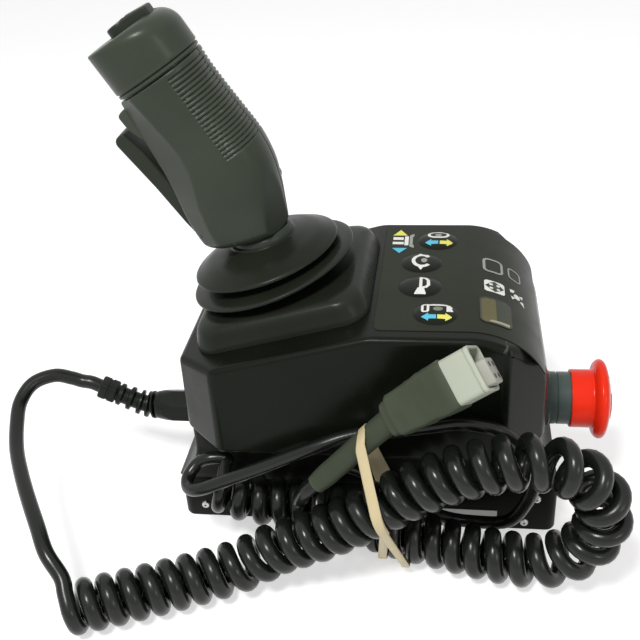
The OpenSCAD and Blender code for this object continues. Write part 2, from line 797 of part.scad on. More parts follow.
// Ring of a grip section: rounded square of two half widths, tilted about its centre
function grip_ring(c, a, b, z, lean) = [for (i = [0:grip_points - 1])
    let (t = 360 * i / grip_points, u = a * sign(cos(t)) * pow(abs(cos(t)), square_share),
        v = b * sign(sin(t)) * pow(abs(sin(t)), square_share))
    [c + u * cos(lean), v, z + u * sin(lean)]];

// Grip's stack of sections, with its head leaning back
module grip_solid() {
    span = grip_seam - grip_low;
    loft([for (row = grip_rows)
        grip_ring(row[1], row[2], grip_w * row[3] / 2, grip_low + span * row[0], grip_lean * row[0])]);
}

module in_head() { translate([grip_rows[8][1] - head_shift, 0, grip_seam]) rotate([0, -grip_lean, 0])
    children(); }

module grip_half(side) {
    on_face() difference() {
        union() {
            grip_solid();
            rotate([90, 0, 0]) linear_extrude(guard_w, center = true) polygon(guard_line);
        }
        translate([-body_l / 2, side > 0 ? -body_l : 0, 0]) cube(body_l);
        translate([0, 0, grip_low - over])
            cylinder(d = lever_d + 2 * fit, h = lever_top - grip_low + 2 * over);
        rotate([90, 0, 0]) linear_extrude(trigger_w + 2 * trigger_gap, center = true)
            polygon(trigger_slot);
        translate([trigger_at.x, 0, trigger_at.y]) rotate([90, 0, 0])
            cylinder(d = trigger_pin_d + 2 * fit, h = trigger_pin_l + 2 * seat, center = true);
        switch_space(seat);
        for (z = grip_screw_z) translate([grip_screw_x, 0, z]) rotate([-90, 0, 0]) {
            cylinder(d = screw_d + 2 * screw_gap, h = grip_w / 2, center = true);
            translate([0, 0, grip_w / 4]) cylinder(d = screw_head_d + 2 * screw_gap, h = grip_w);
        }
    }
}

module switch_space(gap) {
    translate(switch_at)
        cube([switch_size.x + 2 * gap, switch_size.y + 2 * gap, switch_size.z + 2 * gap], center = true);
}

module grip_near_half() { color("#3a3f3e") grip_half(-1); }
module grip_far_half() { color("#3a3f3e") grip_half(1); }

module grip_screws() {
    color("silver") on_face() for (z = grip_screw_z) translate([grip_screw_x, grip_w / 4, z]) rotate([90, 0, 0])
        screw(screw_d, grip_w / 2 - seat, screw_head_d, screw_head_h);
}

// Cap over the grip's head, with a well for the thumb rocker
module grip_cap() {
    a = grip_rows[8][2] + cap_over;
    b = grip_w / 2 + cap_over;
    color("#3a3f3e") on_face() in_head() difference() {
        union() {
            loft([for (s = [0, 0.2, 0.4, 0.6, 0.8, 1]) let (k = 1 - cap_round / b * (1 - cos(90 * s)))
                grip_ring(0, a * k, b * k, cap_gap + cap_h - cap_round + cap_round * sin(90 * s), 0)]);
            loft([grip_ring(0, a, b, cap_gap, 0),
                grip_ring(0, a, b, cap_gap + cap_h - cap_round + seat / 2, 0)]);
            loft([grip_ring(0, a - cap_neck, b - cap_neck, seat, 0),
                grip_ring(0, a - cap_neck, b - cap_neck, 2 * cap_gap, 0)]);
        }
        translate([0, 0, cap_gap + cap_h]) {
            cube([rocker_l + 2 * rocker_gap, rocker_w + 2 * rocker_gap, 2 * rocker_sink], center = true);
            translate([0, 0, -rocker_sink / 2]) rotate([0, 90, 0])
                cylinder(d = rocker_pin_d + 2 * fit, h = rocker_l + 4 * wall, center = true);
            translate([0, 0, -rocker_sink / 2]) rotate([0, 90, 0])
                cylinder(d = rocker_w + 2 * rocker_gap, h = rocker_l + 2 * rocker_gap, center = true);
        }
    }
}

// Rocker whose pin runs fore and aft: a drum segment with a dip for the thumb
module thumb_rocker() {
    color("#2f3433") on_face() in_head() translate([0, 0, cap_gap + cap_h - rocker_sink / 2]) difference() {
        union() {
            rotate([0, 90, 0]) cylinder(d = rocker_w - 2 * rocker_gap, h = rocker_l, center = true);
            translate([0, 0, (rocker_h + rocker_sink) / 4])
                cube([rocker_l, rocker_w - 4 * rocker_gap, (rocker_h + rocker_sink) / 2], center = true);
            translate([0, 0, rocker_sink / 2 + rocker_h * 3 / 4])
                cube([rocker_l, rocker_w, rocker_h / 2], center = true);
        }
        rotate([0, 90, 0]) cylinder(d = rocker_pin_d + 2 * fit, h = 2 * rocker_l, center = true);
        translate([0, 0, rocker_sink / 2 + rocker_h + rocker_dip / 2 - rocker_h / 6]) rotate([0, 90, 0])
            cylinder(d = rocker_dip, h = 2 * rocker_l, center = true);
    }
}

module rocker_pin() {
    color("silver") on_face() in_head() translate([0, 0, cap_gap + cap_h - rocker_sink / 2]) rotate([0, 90, 0]) cylinder(d = rocker_pin_d, h = rocker_l + 2 * wall, center = true);
}

module trigger() {
    color("#2f3433") on_face() rotate([90, 0, 0]) difference() {
        union() {
            linear_extrude(trigger_w, center = true) polygon(trigger_line);
            translate(trigger_at) cylinder(d = 3 * trigger_pin_d, h = trigger_w, center = true);
        }
        translate(trigger_at) cylinder(d = trigger_pin_d + 2 * fit, h = 2 * trigger_w, center = true);
    }
}

module trigger_pin() {
    color("silver") on_face() translate([trigger_at.x, 0, trigger_at.y]) rotate([90, 0, 0]) cylinder(d = trigger_pin_d, h = trigger_pin_l, center = true);
}

module trigger_switch() { color("#202428") on_face() switch_space(0); }

module at_stop() { translate([0, 0, stop_h]) along_x(half_l) children(); }

// Mushroom head with its skirt over the collar
module stop_head() {
    bore = stop_collar_d / 2 + skirt_gap;
    reach = stop_skirt_x + stop_skirt_l;
    tip = reach + stop_edge + stop_dome;
    color("#d9301c") at_stop() difference() {
        rotate_extrude() union() {
            polygon([
                [0, stop_collar_l + stop_travel + skirt_gap],
                    [bore, stop_collar_l + stop_travel + skirt_gap], [bore, stop_skirt_x],
                [stop_skirt_d / 2, stop_skirt_x], [stop_skirt_d / 2, reach],
                    [stop_head_d / 2 - stop_edge / 2, reach],
                [stop_head_d / 2 - stop_edge / 2, reach + stop_edge],
                    [stop_head_d / 3, reach + stop_edge + stop_dome * dome_shares[0]],
                [stop_head_d / 6, reach + stop_edge + stop_dome * dome_shares[1]], [0, tip]
            ]);
            translate([stop_head_d / 2 - stop_edge / 2, reach + stop_edge / 2]) circle(d = stop_edge);
        }
        cylinder(d = stop_stem_d - wall + 2 * fit, h = reach + stop_edge / 2);
    }
}

module stop_stem() {
    bore = stop_stem_d - wall;
    color("#33383a") at_stop() {
        translate([0, 0, -stop_inner + over])
            cylinder(d = stop_stem_d, h = stop_inner + stop_collar_l + stop_travel - over);
        cylinder(d = bore, h = stop_skirt_x + stop_skirt_l + stop_edge / 2 - seat);
    }
}

module stop_collar() {
    color("#46565a") at_stop() difference() {
        union() {
            translate([0, 0, -stop_inner]) cylinder(d = stop_neck_d, h = stop_inner + stop_flange_t);
            translate([0, 0, stop_gasket_t]) cylinder(d = stop_flange_d, h = stop_flange_t);
            translate([0, 0, stop_gasket_t])
                cylinder(d = stop_collar_d, h = stop_collar_l - stop_gasket_t);
        }
        translate([0, 0, -stop_inner - over])
            cylinder(d = stop_stem_d + 2 * fit, h = stop_inner + stop_collar_l + 2 * over);
    }
}

module stop_gasket() {
    color("#c8442c") at_stop() difference() {
        cylinder(d = stop_flange_d + wall / 2, h = stop_gasket_t);
        translate([0, 0, -over]) cylinder(d = stop_neck_d + 2 * fit, h = stop_gasket_t + 2 * over);
    }
}

module stop_nut() {
    color("silver") at_stop() translate([0, 0, -wall - stop_nut_t]) difference() {
        cylinder(d = stop_nut_w * hex_share, h = stop_nut_t, $fn = 6);
        translate([0, 0, -over]) cylinder(d = stop_neck_d + 2 * fit, h = stop_nut_t + 2 * over);
    }
}

module stop_contacts() {
    room = stop_travel + clear;
    color("#c9c4b0") at_stop() translate([0, 0, -stop_inner - contact_l / 2]) difference() {
        cube([contact_h, contact_w, contact_l], center = true);
        translate([0, 0, contact_l / 2 - room]) cylinder(d = stop_stem_d + 2 * clear, h = 2 * room);
        cube([contact_h + over, clear, contact_l + over], center = true);
    }
}

module at_gland() { translate([-neck_l / 2, 0, gland_h]) rotate([0, -90, 0]) children(); }

module cable_gland() {
    color("#1b1c1d") at_gland() difference() {
        union() {
            cylinder(d = gland_hex * hex_share, h = gland_hex_l, $fn = 6);
            translate([0, 0, -gland_inner])
                cylinder(d = gland_thread_d, h = gland_inner + gland_hex_l + gland_inner);
        }
        translate([0, 0, -gland_inner - over])
            cylinder(d = cord_d + 2 * fit, h = 2 * gland_inner + gland_hex_l + 2 * over);
    }
}

module gland_cap() {
    color("#1b1c1d") at_gland() translate([0, 0, gland_hex_l + seat]) difference() {
        intersection() {
            cylinder(d = gland_cap_d * hex_share, h = gland_cap_l, $fn = 6);
            cylinder(d1 = gland_cap_d * 3 / 2, d2 = gland_cap_d - wall / 2, h = gland_cap_l);
        }
        translate([0, 0, -over]) cylinder(d = gland_thread_d + 2 * fit, h = gland_inner + over);
        translate([0, 0, -over]) cylinder(d = cord_d + 2 * fit, h = gland_cap_l - wall);
    }
}

module gland_locknut() {
    color("silver") at_gland() translate([0, 0, -wall - locknut_t]) difference() {
        cylinder(d = locknut_w * hex_share, h = locknut_t, $fn = 6);
        translate([0, 0, -over]) cylinder(d = gland_thread_d + 2 * fit, h = locknut_t + 2 * over);
    }
}

// Point on a smooth curve through a list of points, for t from 0 to 1
function spline(p, t) = let (n = len(p) - 1, k = min(n - 1, floor(t * n)), u = t * n - k,
    b = p[k], c = p[k + 1], a = k > 0 ? p[k - 1] : 2 * b - c, d = k < n - 1 ? p[k + 2] : 2 * c - b)
    (2 * b + (c - a) * u + (2 * a - 5 * b + 4 * c - d) * u * u + (3 * b - a - 3 * c + d) * u * u * u) / 2;

// Direction of a run of points at one of them
function heading(p, i) = unit(p[min(len(p) - 1, i + 1)] - p[max(0, i - 1)]);

// Turns a side vector along the run, so that the rings don't twist
function carried(p, i, side) = let (t = heading(p, i)) unit(side - t * (side * t));
function sides(p) =
    [for (i = 0, s = carried(p, 0, [0.1, 0.2, 1]); i < len(p); i = i + 1, s = i < len(p) ?
        carried(p, i, s) : s) s];

// Round tube through points: one radius, or one for each point
module tube(p, r, n) {
    s = sides(p);
    loft([for (i = [0:len(p) - 1]) let (t = heading(p, i), b = cross(t, s[i]), ri = is_list(r) ? r[i] : r)
        [for (k = [0:n - 1]) p[i] + ri * (cos(360 * k / n) * s[i] + sin(360 * k / n) * b)]]);
}

function run_of(route, rings) = [for (i = [0:rings]) spline(route, i / rings)];

// Ribbed sleeve that narrows towards the clamp
module strain_relief() {
    steps = relief_ribs * 4;
    points = run_of(relief_route, steps);
    radii = [for (i = [0:steps])
        mix(relief_start_d, relief_end_d, i / steps) / 2 - (i % 4 == 3 || i % 4 == 0 ? relief_groove :
            0)];
    color("#202122") {
        tube(points, radii, relief_sides);
        mid = (clamp_route[0] + clamp_route[1]) / 2;
        way = clamp_route[1] - clamp_route[0];
        translate(mid) rotate([0, atan2(way.z, -way.x), 0])
            cube([norm(way), relief_clamp_w, relief_clamp_w], center = true);
    }
}

// Running sums of a list
function sums(v) = [for (i = 0, s = 0; i <= len(v); s = s + (i < len(v) ? v[i] : 0), i = i + 1) s];

// Direction in which a helix leaves its end, from its last three points
function leaving(a, b, c) = unit(2.5 * a - 4 * b + 1.5 * c);

// Point of the curls' axis and the way out from it, after so many rings
function axis_at(fine, turned, rings) =
    let (f = lookup(rings / curl_rings, turned), i = min(len(fine) - 2, floor(f)))
    mix(fine[i], fine[i + 1], f - i);
function wound_at(fine, turned, k, total) = let (
    c = unit(axis_at(fine, turned, min(total, k + 1)) - axis_at(fine, turned, max(0, k - 1))),
    u = unit(cross(c, [0, 1, 0])), v = cross(c, u), a = 360 * (k / curl_rings + start_turn))
    axis_at(fine, turned, k) + (u * cos(a) + v * sin(a)) * curl_r;

// Centre line of the curls about their curved axis: the pitch widens on bends, so that the inner
// sides keep their gap, and each end runs out straight
function curl_points() = let (
    fine = run_of(curl_route, 20 * (len(curl_route) - 1)),
    n = len(fine),
    steps = [for (i = [1:n - 1]) norm(fine[i] - fine[i - 1])],
    bend = [for (i = [1:n - 1]) norm(heading(fine, i) - heading(fine, i - 1)) / steps[i - 1]],
    soft = [for (i = [0:n - 2]) let (a = max(0, i - 7), b = min(n - 2, i + 7))
        sums([for (k = [a:b]) bend[k]])[b - a + 1] / (b - a + 1)],
    turned = sums([for (i = [0:n - 2]) steps[i] * (1 - curl_r * soft[i]) / curl_pitch]),
    curls = floor(turned[n - 1] - end_turn) + end_turn,
    table = [for (i = [0:n - 1]) [turned[i] * curls / turned[n - 1], i]],
    total = round(curls * curl_rings),
    wound = [for (k = [0:total]) wound_at(fine, table, k, total)],
    before = leaving(wound[0], wound[1], wound[2]) * curl_wire_d,
    after = leaving(wound[total], wound[total - 1], wound[total - 2]) * curl_wire_d)
    [wound[0] + before, wound[0] + before / 2, each wound, wound[total] + after / 2,
        wound[total] + after];

module coil_cord() {
    points = curl_points();
    last = len(points) - 1;
    radii = [for (i = [0:last]) i < last / 2 ? mix(cord_d, curl_wire_d, smooth((i - 1) / curl_rings)) / 2
        : mix(lead_d, curl_wire_d, smooth((last - 1 - i) / curl_rings)) / 2];
    near = [for (i = [0:last], j = [i + 5:1:last]) if (abs(points[i].x - points[j].x) < 4 * curl_wire_d)
        norm(points[i] - points[j])];
    between = [for (i = [2:last - 13], j = [4:10])
        norm((points[i] + points[i + 1]) / 2 - (points[i + j] + points[i + j + 1]) / 2)];
    echo(rings = last + 1, least_gap = min(min(near), min(between)) - curl_wire_d);
    color("#1a1b1c") tube(points, radii, wire_sides);
}

module cord_tail() {
    points = curl_points();
    joint = points[0];
    way = unit(points[0] - points[1]);
    color("#1a1b1c") tube(run_of([each tail_route, joint + way * cord_d, joint + way * butt], 52), cord_d / 2, tube_sides);
}

module cord_lead() {
    points = curl_points();
    last = len(points) - 1;
    way = unit(points[last] - points[last - 1]);
    inlet = unit(plug_bend - plug_tail);
    color("#1a1b1c") tube(run_of([
        points[last] + way * butt, points[last] + way * lead_d / 2, points[last] + way * lead_d,
            each lead_route, plug_tail - inlet * lead_d, plug_tail - inlet * butt
    ], 90), lead_d / 2, tube_sides);
}

module along_plug() {
    d = unit(plug_dir);
    translate(plug_bend) rotate([0, 0, atan2(d.y, d.x)]) rotate([0, 90 - asin(d.z), 0]) children();
}

module connector_boot() {
    bend = plug_bend + unit(plug_dir) * (backshell_l / 3);
    color("#3d4140") tube([plug_tail, mix(plug_tail, plug_bend, 0.3), mix(plug_tail, plug_bend, 0.6), mix(plug_tail, plug_bend, 0.85), plug_bend, bend], slim_d / 2, 20);
}

module connector_backshell() {
    color("#4b4e4b") along_plug() difference() {
        union() {
            cylinder(d1 = plug_boot_d - wall, d2 = plug_boot_d, h = backshell_l / 4);
            translate([0, 0, backshell_l / 4]) cylinder(d = plug_boot_d, h = backshell_l * 3 / 4);
        }
        translate([0, 0, -over]) cylinder(d = slim_d + 2 * clear, h = backshell_l / 2 + over);
    }
}

module connector_shell() {
    color("#a9a8a0") along_plug() translate([0, 0, backshell_l]) difference() {
        cylinder(d = plug_d, h = plug_l);
        translate([0, 0, plug_l - wedge_l]) cylinder(d = plug_d - 2 * shell_wall, h = wedge_l + over);
        at_contacts() translate([0, 0, -over]) cylinder(d = contact_d + 2 * fit, h = plug_l);
    }
}

module at_contacts() { for (x = [-1, 1], y = [-1, 1]) translate([x, y, 0] * contact_step / 2)
    children(); }

module connector_wedge() {
    size = wedge_share * (plug_d - 2 * shell_wall);
    color("#b7b5ab") along_plug() translate([0, 0, backshell_l + plug_l - wedge_l + seat]) difference() {
        translate([-size / 2, -size / 2, 0]) cube([size, size, wedge_l + shell_wall]);
        at_contacts() translate([0, 0, -over]) cylinder(d = contact_d + 4 * fit, h = 2 * wedge_l);
    }
}

module connector_contacts() {
    color("silver") along_plug() translate([0, 0, backshell_l + shell_wall]) at_contacts() cylinder(d = contact_d, h = plug_l - 2 * shell_wall);
}

// Stretched band: a flat strip round the slim boot and both runs of curls, wrapped twice
module rubber_band() {
    loop_r = curl_r + curl_wire_d / 2 + 3 * clear;
    boot_way = unit(plug_bend - plug_tail);
    steps = 36;
    function reach(c, a) = c[0] * cos(a) + c[1] * sin(a) + c[2];
    function held(rounds, a) =
        let (v = [for (c = rounds) reach(c, a)], best = max(v)) [for (i = [0:2]) if (v[i] == best)
            rounds[i]][0];
    color("#e0cfa6") for (turn = band_turns) {
        rounds = [[each turn[0], loop_r], [each turn[1], loop_r], [each band_top, slim_d / 2 + clear]];
        pts = [for (i = [0:steps - 1])
            let (a = 360 * (i + 0.5) / steps, c = held(rounds, a), n = [cos(a), sin(a)],
            p = [c[0], c[1]] + c[2] * n, up =
                max(0, min(1, (p.y - turn[1].y) / (band_top.y - turn[1].y))),
            q = [mix(turn[2], band_top_x, up), p.x, p.y], half =
                unit(mix([1, 0, 0], boot_way, up)) * band_w / 2, t = [0, n.x, n.y] * band_t)
            each [q - half, q + half, q + half + t, q - half + t]];
        polyhedron(points = pts, faces =
            [for (i = [0:steps - 1], k = [0:3]) let (j = (i + 1) % steps, m = (k + 1) % 4)
            each [[4 * i + k, 4 * j + k, 4 * j + m], [4 * i + k, 4 * j + m, 4 * i + m]]]);
    }
}

main_housing();
base_tray();
tray_gasket();
housing_screws();
circuit_board();
board_relays();
board_screws();
membrane_overlay();
horn_key();
beacon_key();
drive_key_near();
drive_key_far();
key_board();
key_board_screws();
display_window();
display_module();
gimbal_block();
gimbal_screws();
pivot_pin();
centring_springs();
tilt_sensor();
lever_shaft();
boot_skirt();
boot_bellows();
grip_collar();
grip_near_half();
grip_far_half();
grip_cap();
grip_screws();
thumb_rocker();
rocker_pin();
trigger();
trigger_pin();
trigger_switch();
stop_head();
stop_stem();
stop_collar();
stop_gasket();
stop_nut();
stop_contacts();
cable_gland();
gland_cap();
gland_locknut();
strain_relief();
cord_tail();
coil_cord();
cord_lead();
connector_boot();
connector_backshell();
connector_shell();
connector_wedge();
connector_contacts();
rubber_band();
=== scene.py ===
import math

import bmesh
import bpy
from bpy.props import FloatProperty, FloatVectorProperty, IntProperty, PointerProperty
from mathutils import Matrix, Vector


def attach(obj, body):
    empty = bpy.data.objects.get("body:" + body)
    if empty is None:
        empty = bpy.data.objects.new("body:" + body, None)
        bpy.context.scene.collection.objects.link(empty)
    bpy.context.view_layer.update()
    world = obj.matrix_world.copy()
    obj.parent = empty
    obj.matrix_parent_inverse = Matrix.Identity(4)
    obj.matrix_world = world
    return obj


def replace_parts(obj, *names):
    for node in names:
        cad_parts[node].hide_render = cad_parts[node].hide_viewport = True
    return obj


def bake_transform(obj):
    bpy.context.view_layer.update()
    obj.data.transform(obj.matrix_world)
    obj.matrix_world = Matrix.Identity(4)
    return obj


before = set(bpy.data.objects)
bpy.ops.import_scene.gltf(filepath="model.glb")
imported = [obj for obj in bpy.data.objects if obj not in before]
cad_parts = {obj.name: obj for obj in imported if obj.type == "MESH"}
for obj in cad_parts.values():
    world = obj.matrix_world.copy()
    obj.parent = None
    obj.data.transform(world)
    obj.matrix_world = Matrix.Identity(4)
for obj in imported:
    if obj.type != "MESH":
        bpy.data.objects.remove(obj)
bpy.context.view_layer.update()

bl_info = {
    "name": "Scissor lift control box",
    "version": (1, 0, 0),
    "blender": (4, 5, 0),
    "location": "View3D > Sidebar > Control box",
    "description": "Dresses the control box: housing, keys, joystick, emergency stop, cord and connector",
    "category": "Object",
}

MM = 0.001

# Places shared by several pieces, in millimetres in the box's own frame
JOY = (-37.5, 112.4955)
FACE_TILT = math.radians(15)
HEAD = (-19.8, 120.0)
HEAD_LEAN = math.radians(16)
STOP_FACE = 86.0
STOP_HEIGHT = 54.7
CROWN = (49.0, 87.0)
CROWN_R = 37.0
FILM = 0.3
KEY_R = 10.0
KEY_DOME = 1.4
PRINT_R = 8.5
PRINT_STEP = 0.8
KEYS = {"horn_key": (27.0, -12.0), "beacon_key": (27.0, 12.0), "drive_key_near": (34.5, -36.4),
        "drive_key_far": (34.5, 36.4)}
FILM_START = 7.9
FILM_SWEEP = math.radians(66)
FILM_HALF_W = 51.0
PLUG_TAIL = Vector((-17, -80.5, 61.2))
PLUG_BEND = Vector((16.1, -75.5, 94.1))
PLUG_WAY = Vector((0.828, 0.035, 0.56)).normalized()
SLEEVE_L = 31.0
SHELL_TURN = math.radians(37.4)
BODY_END = 86.0
BODY_FLOOR = 58.0
BODY_HALF_W = 58.5
BODY_CORNER = 66.0
FACE_FOOT = 99.51
FACE_TOP = (5.4, 124.0)
NECK_W = 76.8
NECK_END = 84.5
FLARE = (106.94, 46.0)
FLARE_R = 22.44
FOOT_L = 190.0
FOOT_H = 27.0
FOOT_HOLE = (90.0, 25.0)
FOOT_HOLE_R = 2.5
BOOT_L = 85.0
BOOT_W = 87.0
BOOT_SHIFT = 1.8

# Camera: place in metres, direction, roll and lens in millimetres
CAMERA_PLACE = (0.03971, -0.39848, 0.33841)
CAMERA_AZIMUTH = math.radians(8.96)
CAMERA_ELEVATION = math.radians(30.78)
CAMERA_ROLL = math.radians(3.66)
CAMERA_LENS = 52.92
LAMP_AIM = Vector((0, -0.02, 0.08))

# Cord: route of each run, and the sizes of its curls, in millimetres
CORD_D = 7.4
LEAD_D = 6.4
WIRE_D = 8.0
CURL_R = 8.8
CURL_PITCH = 9.1
START_TURN = 0.14
END_TURN = 0.25
TAIL_ROUTE = [
    (-145.2, 0, 54.3), (-149.7, 0, 56.4), (-155.1, 0.0, 57.3), (-160.1, -0.7, 59.5), (-168.2, -3.5, 62.8),
    (-177.8, -10.0, 61.8), (-181.9, -20.0, 56.8), (-179.7, -33.0, 51.6), (-174.4, -48.0, 47.5),
    (-165.8, -64.0, 45.1), (-156.6, -79.0, 42.8), (-147.4, -93.0, 39.9), (-139.4, -105.0, 35.2)]
CURL_ROUTE = [
    (-127.5, -116.8, 13.2), (-113, -111, 13.2), (-98, -105, 13.2), (-75, -95, 13.2), (-54, -87.5, 16),
    (-35, -84, 25.5), (-16, -83, 34), (5, -82, 46), (24, -81, 59), (41, -80, 68), (58, -80.5, 75),
    (76, -81, 78.5), (90, -81, 76), (102, -80, 67.5), (108.5, -79, 54), (108, -78, 40), (101.5, -77, 27),
    (90, -75.5, 18), (78, -74, 14.8), (60, -71, 14.6), (40, -66, 15), (18, -62, 17), (-2, -57.2, 20),
    (-24, -53.5, 23.5), (-43, -53, 25.3), (-53, -53.2, 27), (-62, -53.6, 30), (-70, -54, 33.5)]
LEAD_ROUTE = [
    (-75, -47.8, 46.5), (-81, -48.5, 43.5), (-85, -54, 39.5), (-83, -61, 38.5), (-76, -65.5, 42),
    (-63, -66, 48.3), (-45.3, -66, 57), (-21.3, -65, 68.5), (-3.3, -62, 74.4), (14, -62, 77.6),
    (33, -62, 81.1), (46.5, -62.8, 84), (60.9, -62.8, 81.5), (69.4, -62.8, 75.8), (77.4, -62.5, 64.6),
    (80.2, -60.5, 50.3), (78.2, -56.5, 34.6), (70.4, -52, 18), (54, -48, 13), (40, -45.6, 13),
    (26, -43.6, 18), (12, -42.6, 28), (0, -43, 37.5), (-12, -47, 44.5), (-21, -54.5, 43.5),
    (-26, -63, 41.5), (-27, -70.5, 43.5), (-25.5, -77.5, 48.5)]
RELIEF_ROUTE = [(-115, 0, 43), (-119, 0, 43), (-124, 0, 44.4), (-130.5, 0, 47.3), (-137, 0, 50.4)]
CLAMP = ((-137, 0, 50.4), (-145, 0, 54.2))

# Grip sections: share of the height, centre, half depth and share of the width
GRIP_LOW = 37.5
GRIP_SEAM = 120.0
GRIP_HALF_W = 20.0
GRIP_SQUARE = 0.78
GRIP_ROWS = [
    (0, -7.5, 21, 0.86), (0.10, -8, 22.5, 0.92), (0.22, -8, 24, 0.96), (0.36, -8, 24.6, 1),
    (0.50, -9.2, 24.2, 1), (0.64, -12, 23.1, 1), (0.78, -15.1, 22, 1), (0.90, -17.5, 21.2, 1),
    (1, -19.2, 20.9, 1)]
TRIGGER_SIDE = [
    (-28.5, 40), (-33.5, 52), (-40.5, 72), (-50.3, 96.3), (-49.6, 98.9), (-44.8, 101), (-39, 90),
    (-32.5, 73), (-27.5, 56), (-22, 43)]
SLOT_SIDE = [
    (-37, 36), (-38.5, 52), (-50, 70), (-64, 100), (-44, 104.5), (-35.5, 104.5), (-33, 92),
    (-27.5, 73), (-23, 58), (-18.5, 50), (-18.5, 36)]
GUARD_SIDE = [
    (-30, 115), (-36.2, 112.6), (-41.6, 109.9), (-42.4, 108.4), (-40.4, 102.5), (-36, 96), (-28, 96)]
SLOT_HALF_W = 7.1


def screen(r, g, b):
    """Linear colour from screen values of 0 to 255."""
    def one(v):
        v = v / 255
        return v / 12.92 if v <= 0.04045 else ((v + 0.055) / 1.055) ** 2.4
    return (one(r), one(g), one(b))


def colour(name, description, value):
    return FloatVectorProperty(name=name, description=description, default=value, size=3, subtype="COLOR",
                               min=0, max=1)


class HousingSettings(bpy.types.PropertyGroup):
    edge: FloatProperty(name="Edge radius", description="Radius of the upper housing's edges",
                        default=3 * MM, min=0.5 * MM, max=4 * MM, unit="LENGTH")
    plastic: colour("Housing", "Colour of the moulded housing", screen(18, 21, 15))
    film: colour("Overlay", "Colour of the keypad's film", screen(37, 40, 30))
    white: colour("White print", "Colour of the white symbols", screen(232, 232, 226))
    grey: colour("Grey print", "Colour of the faint symbols", screen(150, 152, 144))
    blue: colour("Blue print", "Colour of the blue arrows", screen(84, 186, 214))
    yellow: colour("Yellow print", "Colour of the yellow arrows", screen(226, 222, 104))


class JoystickSettings(bpy.types.PropertyGroup):
    rubber: colour("Boot", "Colour of the rubber boot", screen(28, 32, 25))
    plastic: colour("Grip", "Colour of the grip's plastic", screen(54, 60, 50))
    ribs: IntProperty(name="Ribs", description="Number of ribs on the palm side", default=21, min=5, max=40)
    rib_depth: FloatProperty(name="Rib depth", description="Depth of the grooves between the ribs",
                             default=0.7 * MM, min=0, max=1.5 * MM, unit="LENGTH")
    fold_tilt: FloatProperty(name="Fold tilt", description="Tilt of the boot's lower fold",
                             default=math.radians(3.5), min=0, max=0.2, unit="ROTATION")


class StopSettings(bpy.types.PropertyGroup):
    head: colour("Button", "Colour of the mushroom head", screen(240, 48, 22))
    collar: colour("Collar", "Colour of the collar", screen(72, 84, 80))
    gasket: colour("Gasket", "Colour of the gasket", screen(198, 74, 50))


class CordSettings(bpy.types.PropertyGroup):
    jacket: colour("Cord", "Colour of the cord's jacket", screen(22, 25, 21))
    band: colour("Band", "Colour of the rubber band", screen(204, 188, 148))
    shell: colour("Connector", "Colour of the connector's shell", screen(166, 171, 155))
    sleeve: colour("Sleeve", "Colour of the connector's sleeve", screen(62, 69, 55))
    sides: IntProperty(name="Sides", description="Corners of the cord's round section", default=16,
                       min=8, max=32)


class StageSettings(bpy.types.PropertyGroup):
    key: FloatProperty(name="Key light", description="Power of the lamp above", default=12,
                       min=0, max=200, unit="POWER")
    fill: FloatProperty(name="Fill light", description="Power of the lamp beside the camera", default=1.5,
                        min=0, max=200, unit="POWER")
    ambient: FloatProperty(name="Ambient", description="Level of the light from all round", default=0.36,
                           min=0, max=2)


def settings():
    return bpy.context.scene.control_box


def on_face(u, v, w):
    """Point in metres from a place on the joystick's sloping face and a height above it."""
    c = math.cos(FACE_TILT)
    s = math.sin(FACE_TILT)
    return Vector((JOY[0] + u * c - w * s, v, JOY[1] + u * s + w * c)) * MM


def on_head(u, v, w):
    """Point in metres from a place in the frame of the grip's leaning head."""
    c = math.cos(HEAD_LEAN)
    s = math.sin(HEAD_LEAN)
    return on_face(HEAD[0] + u * c - w * s, v, HEAD[1] + u * s + w * c)


def on_box(x, y, z):
    return Vector((x, y, z)) * MM


def on_stop(along, radius, angle):
    """Point in metres around the emergency stop's axis."""
    return on_box(STOP_FACE + along, radius * math.cos(angle), STOP_HEIGHT + radius * math.sin(angle))


def on_plug(along, radius, angle):
    """Point in metres around the connector's axis."""
    side = PLUG_WAY.cross(Vector((0, 0, 1))).normalized()
    up = side.cross(PLUG_WAY)
    out = side * (radius * math.cos(angle)) + up * (radius * math.sin(angle))
    return (PLUG_BEND + PLUG_WAY * along + out) * MM


def on_shell(along, a, b):
    """Point in metres in the connector's square section, which is turned about its axis."""
    return on_plug(along, math.hypot(a, b), SHELL_TURN + math.atan2(a, b))


def square_rings(rows, r, steps=5):
    """Rings of rounded rectangles along the connector: rows of distance, width, depth and rise."""
    rings = []
    for along, width, depth, rise in rows:
        plan = rounded_rectangle(width, depth, min(r, 0.45 * depth), steps)
        rings.append([on_shell(along, a + rise, b) for a, b in plan])
    return rings


def on_film(s, y, h):
    """Point in metres on the keypad: s is X on the flat part and then runs down the rolled end."""
    r = CROWN_R + h
    if s <= CROWN[0]:
        return on_box(s, y, CROWN[1] + r)
    a = (s - CROWN[0]) / CROWN_R
    return on_box(CROWN[0] + r * math.sin(a), y, CROWN[1] + r * math.cos(a))


def upright(x, y):
    """Placing function of a piece turned about an upright axis."""
    return lambda z, r, a: on_box(x + r * math.cos(a), y + r * math.sin(a), z)


def eased(t):
    """Smooth step from 0 to 1."""
    t = max(0.0, min(1.0, t))
    return t * t * (3 - 2 * t)


def bump_at(x, middle, width):
    """Round bump of height 1."""
    return math.exp(-((x - middle) / width) ** 2)


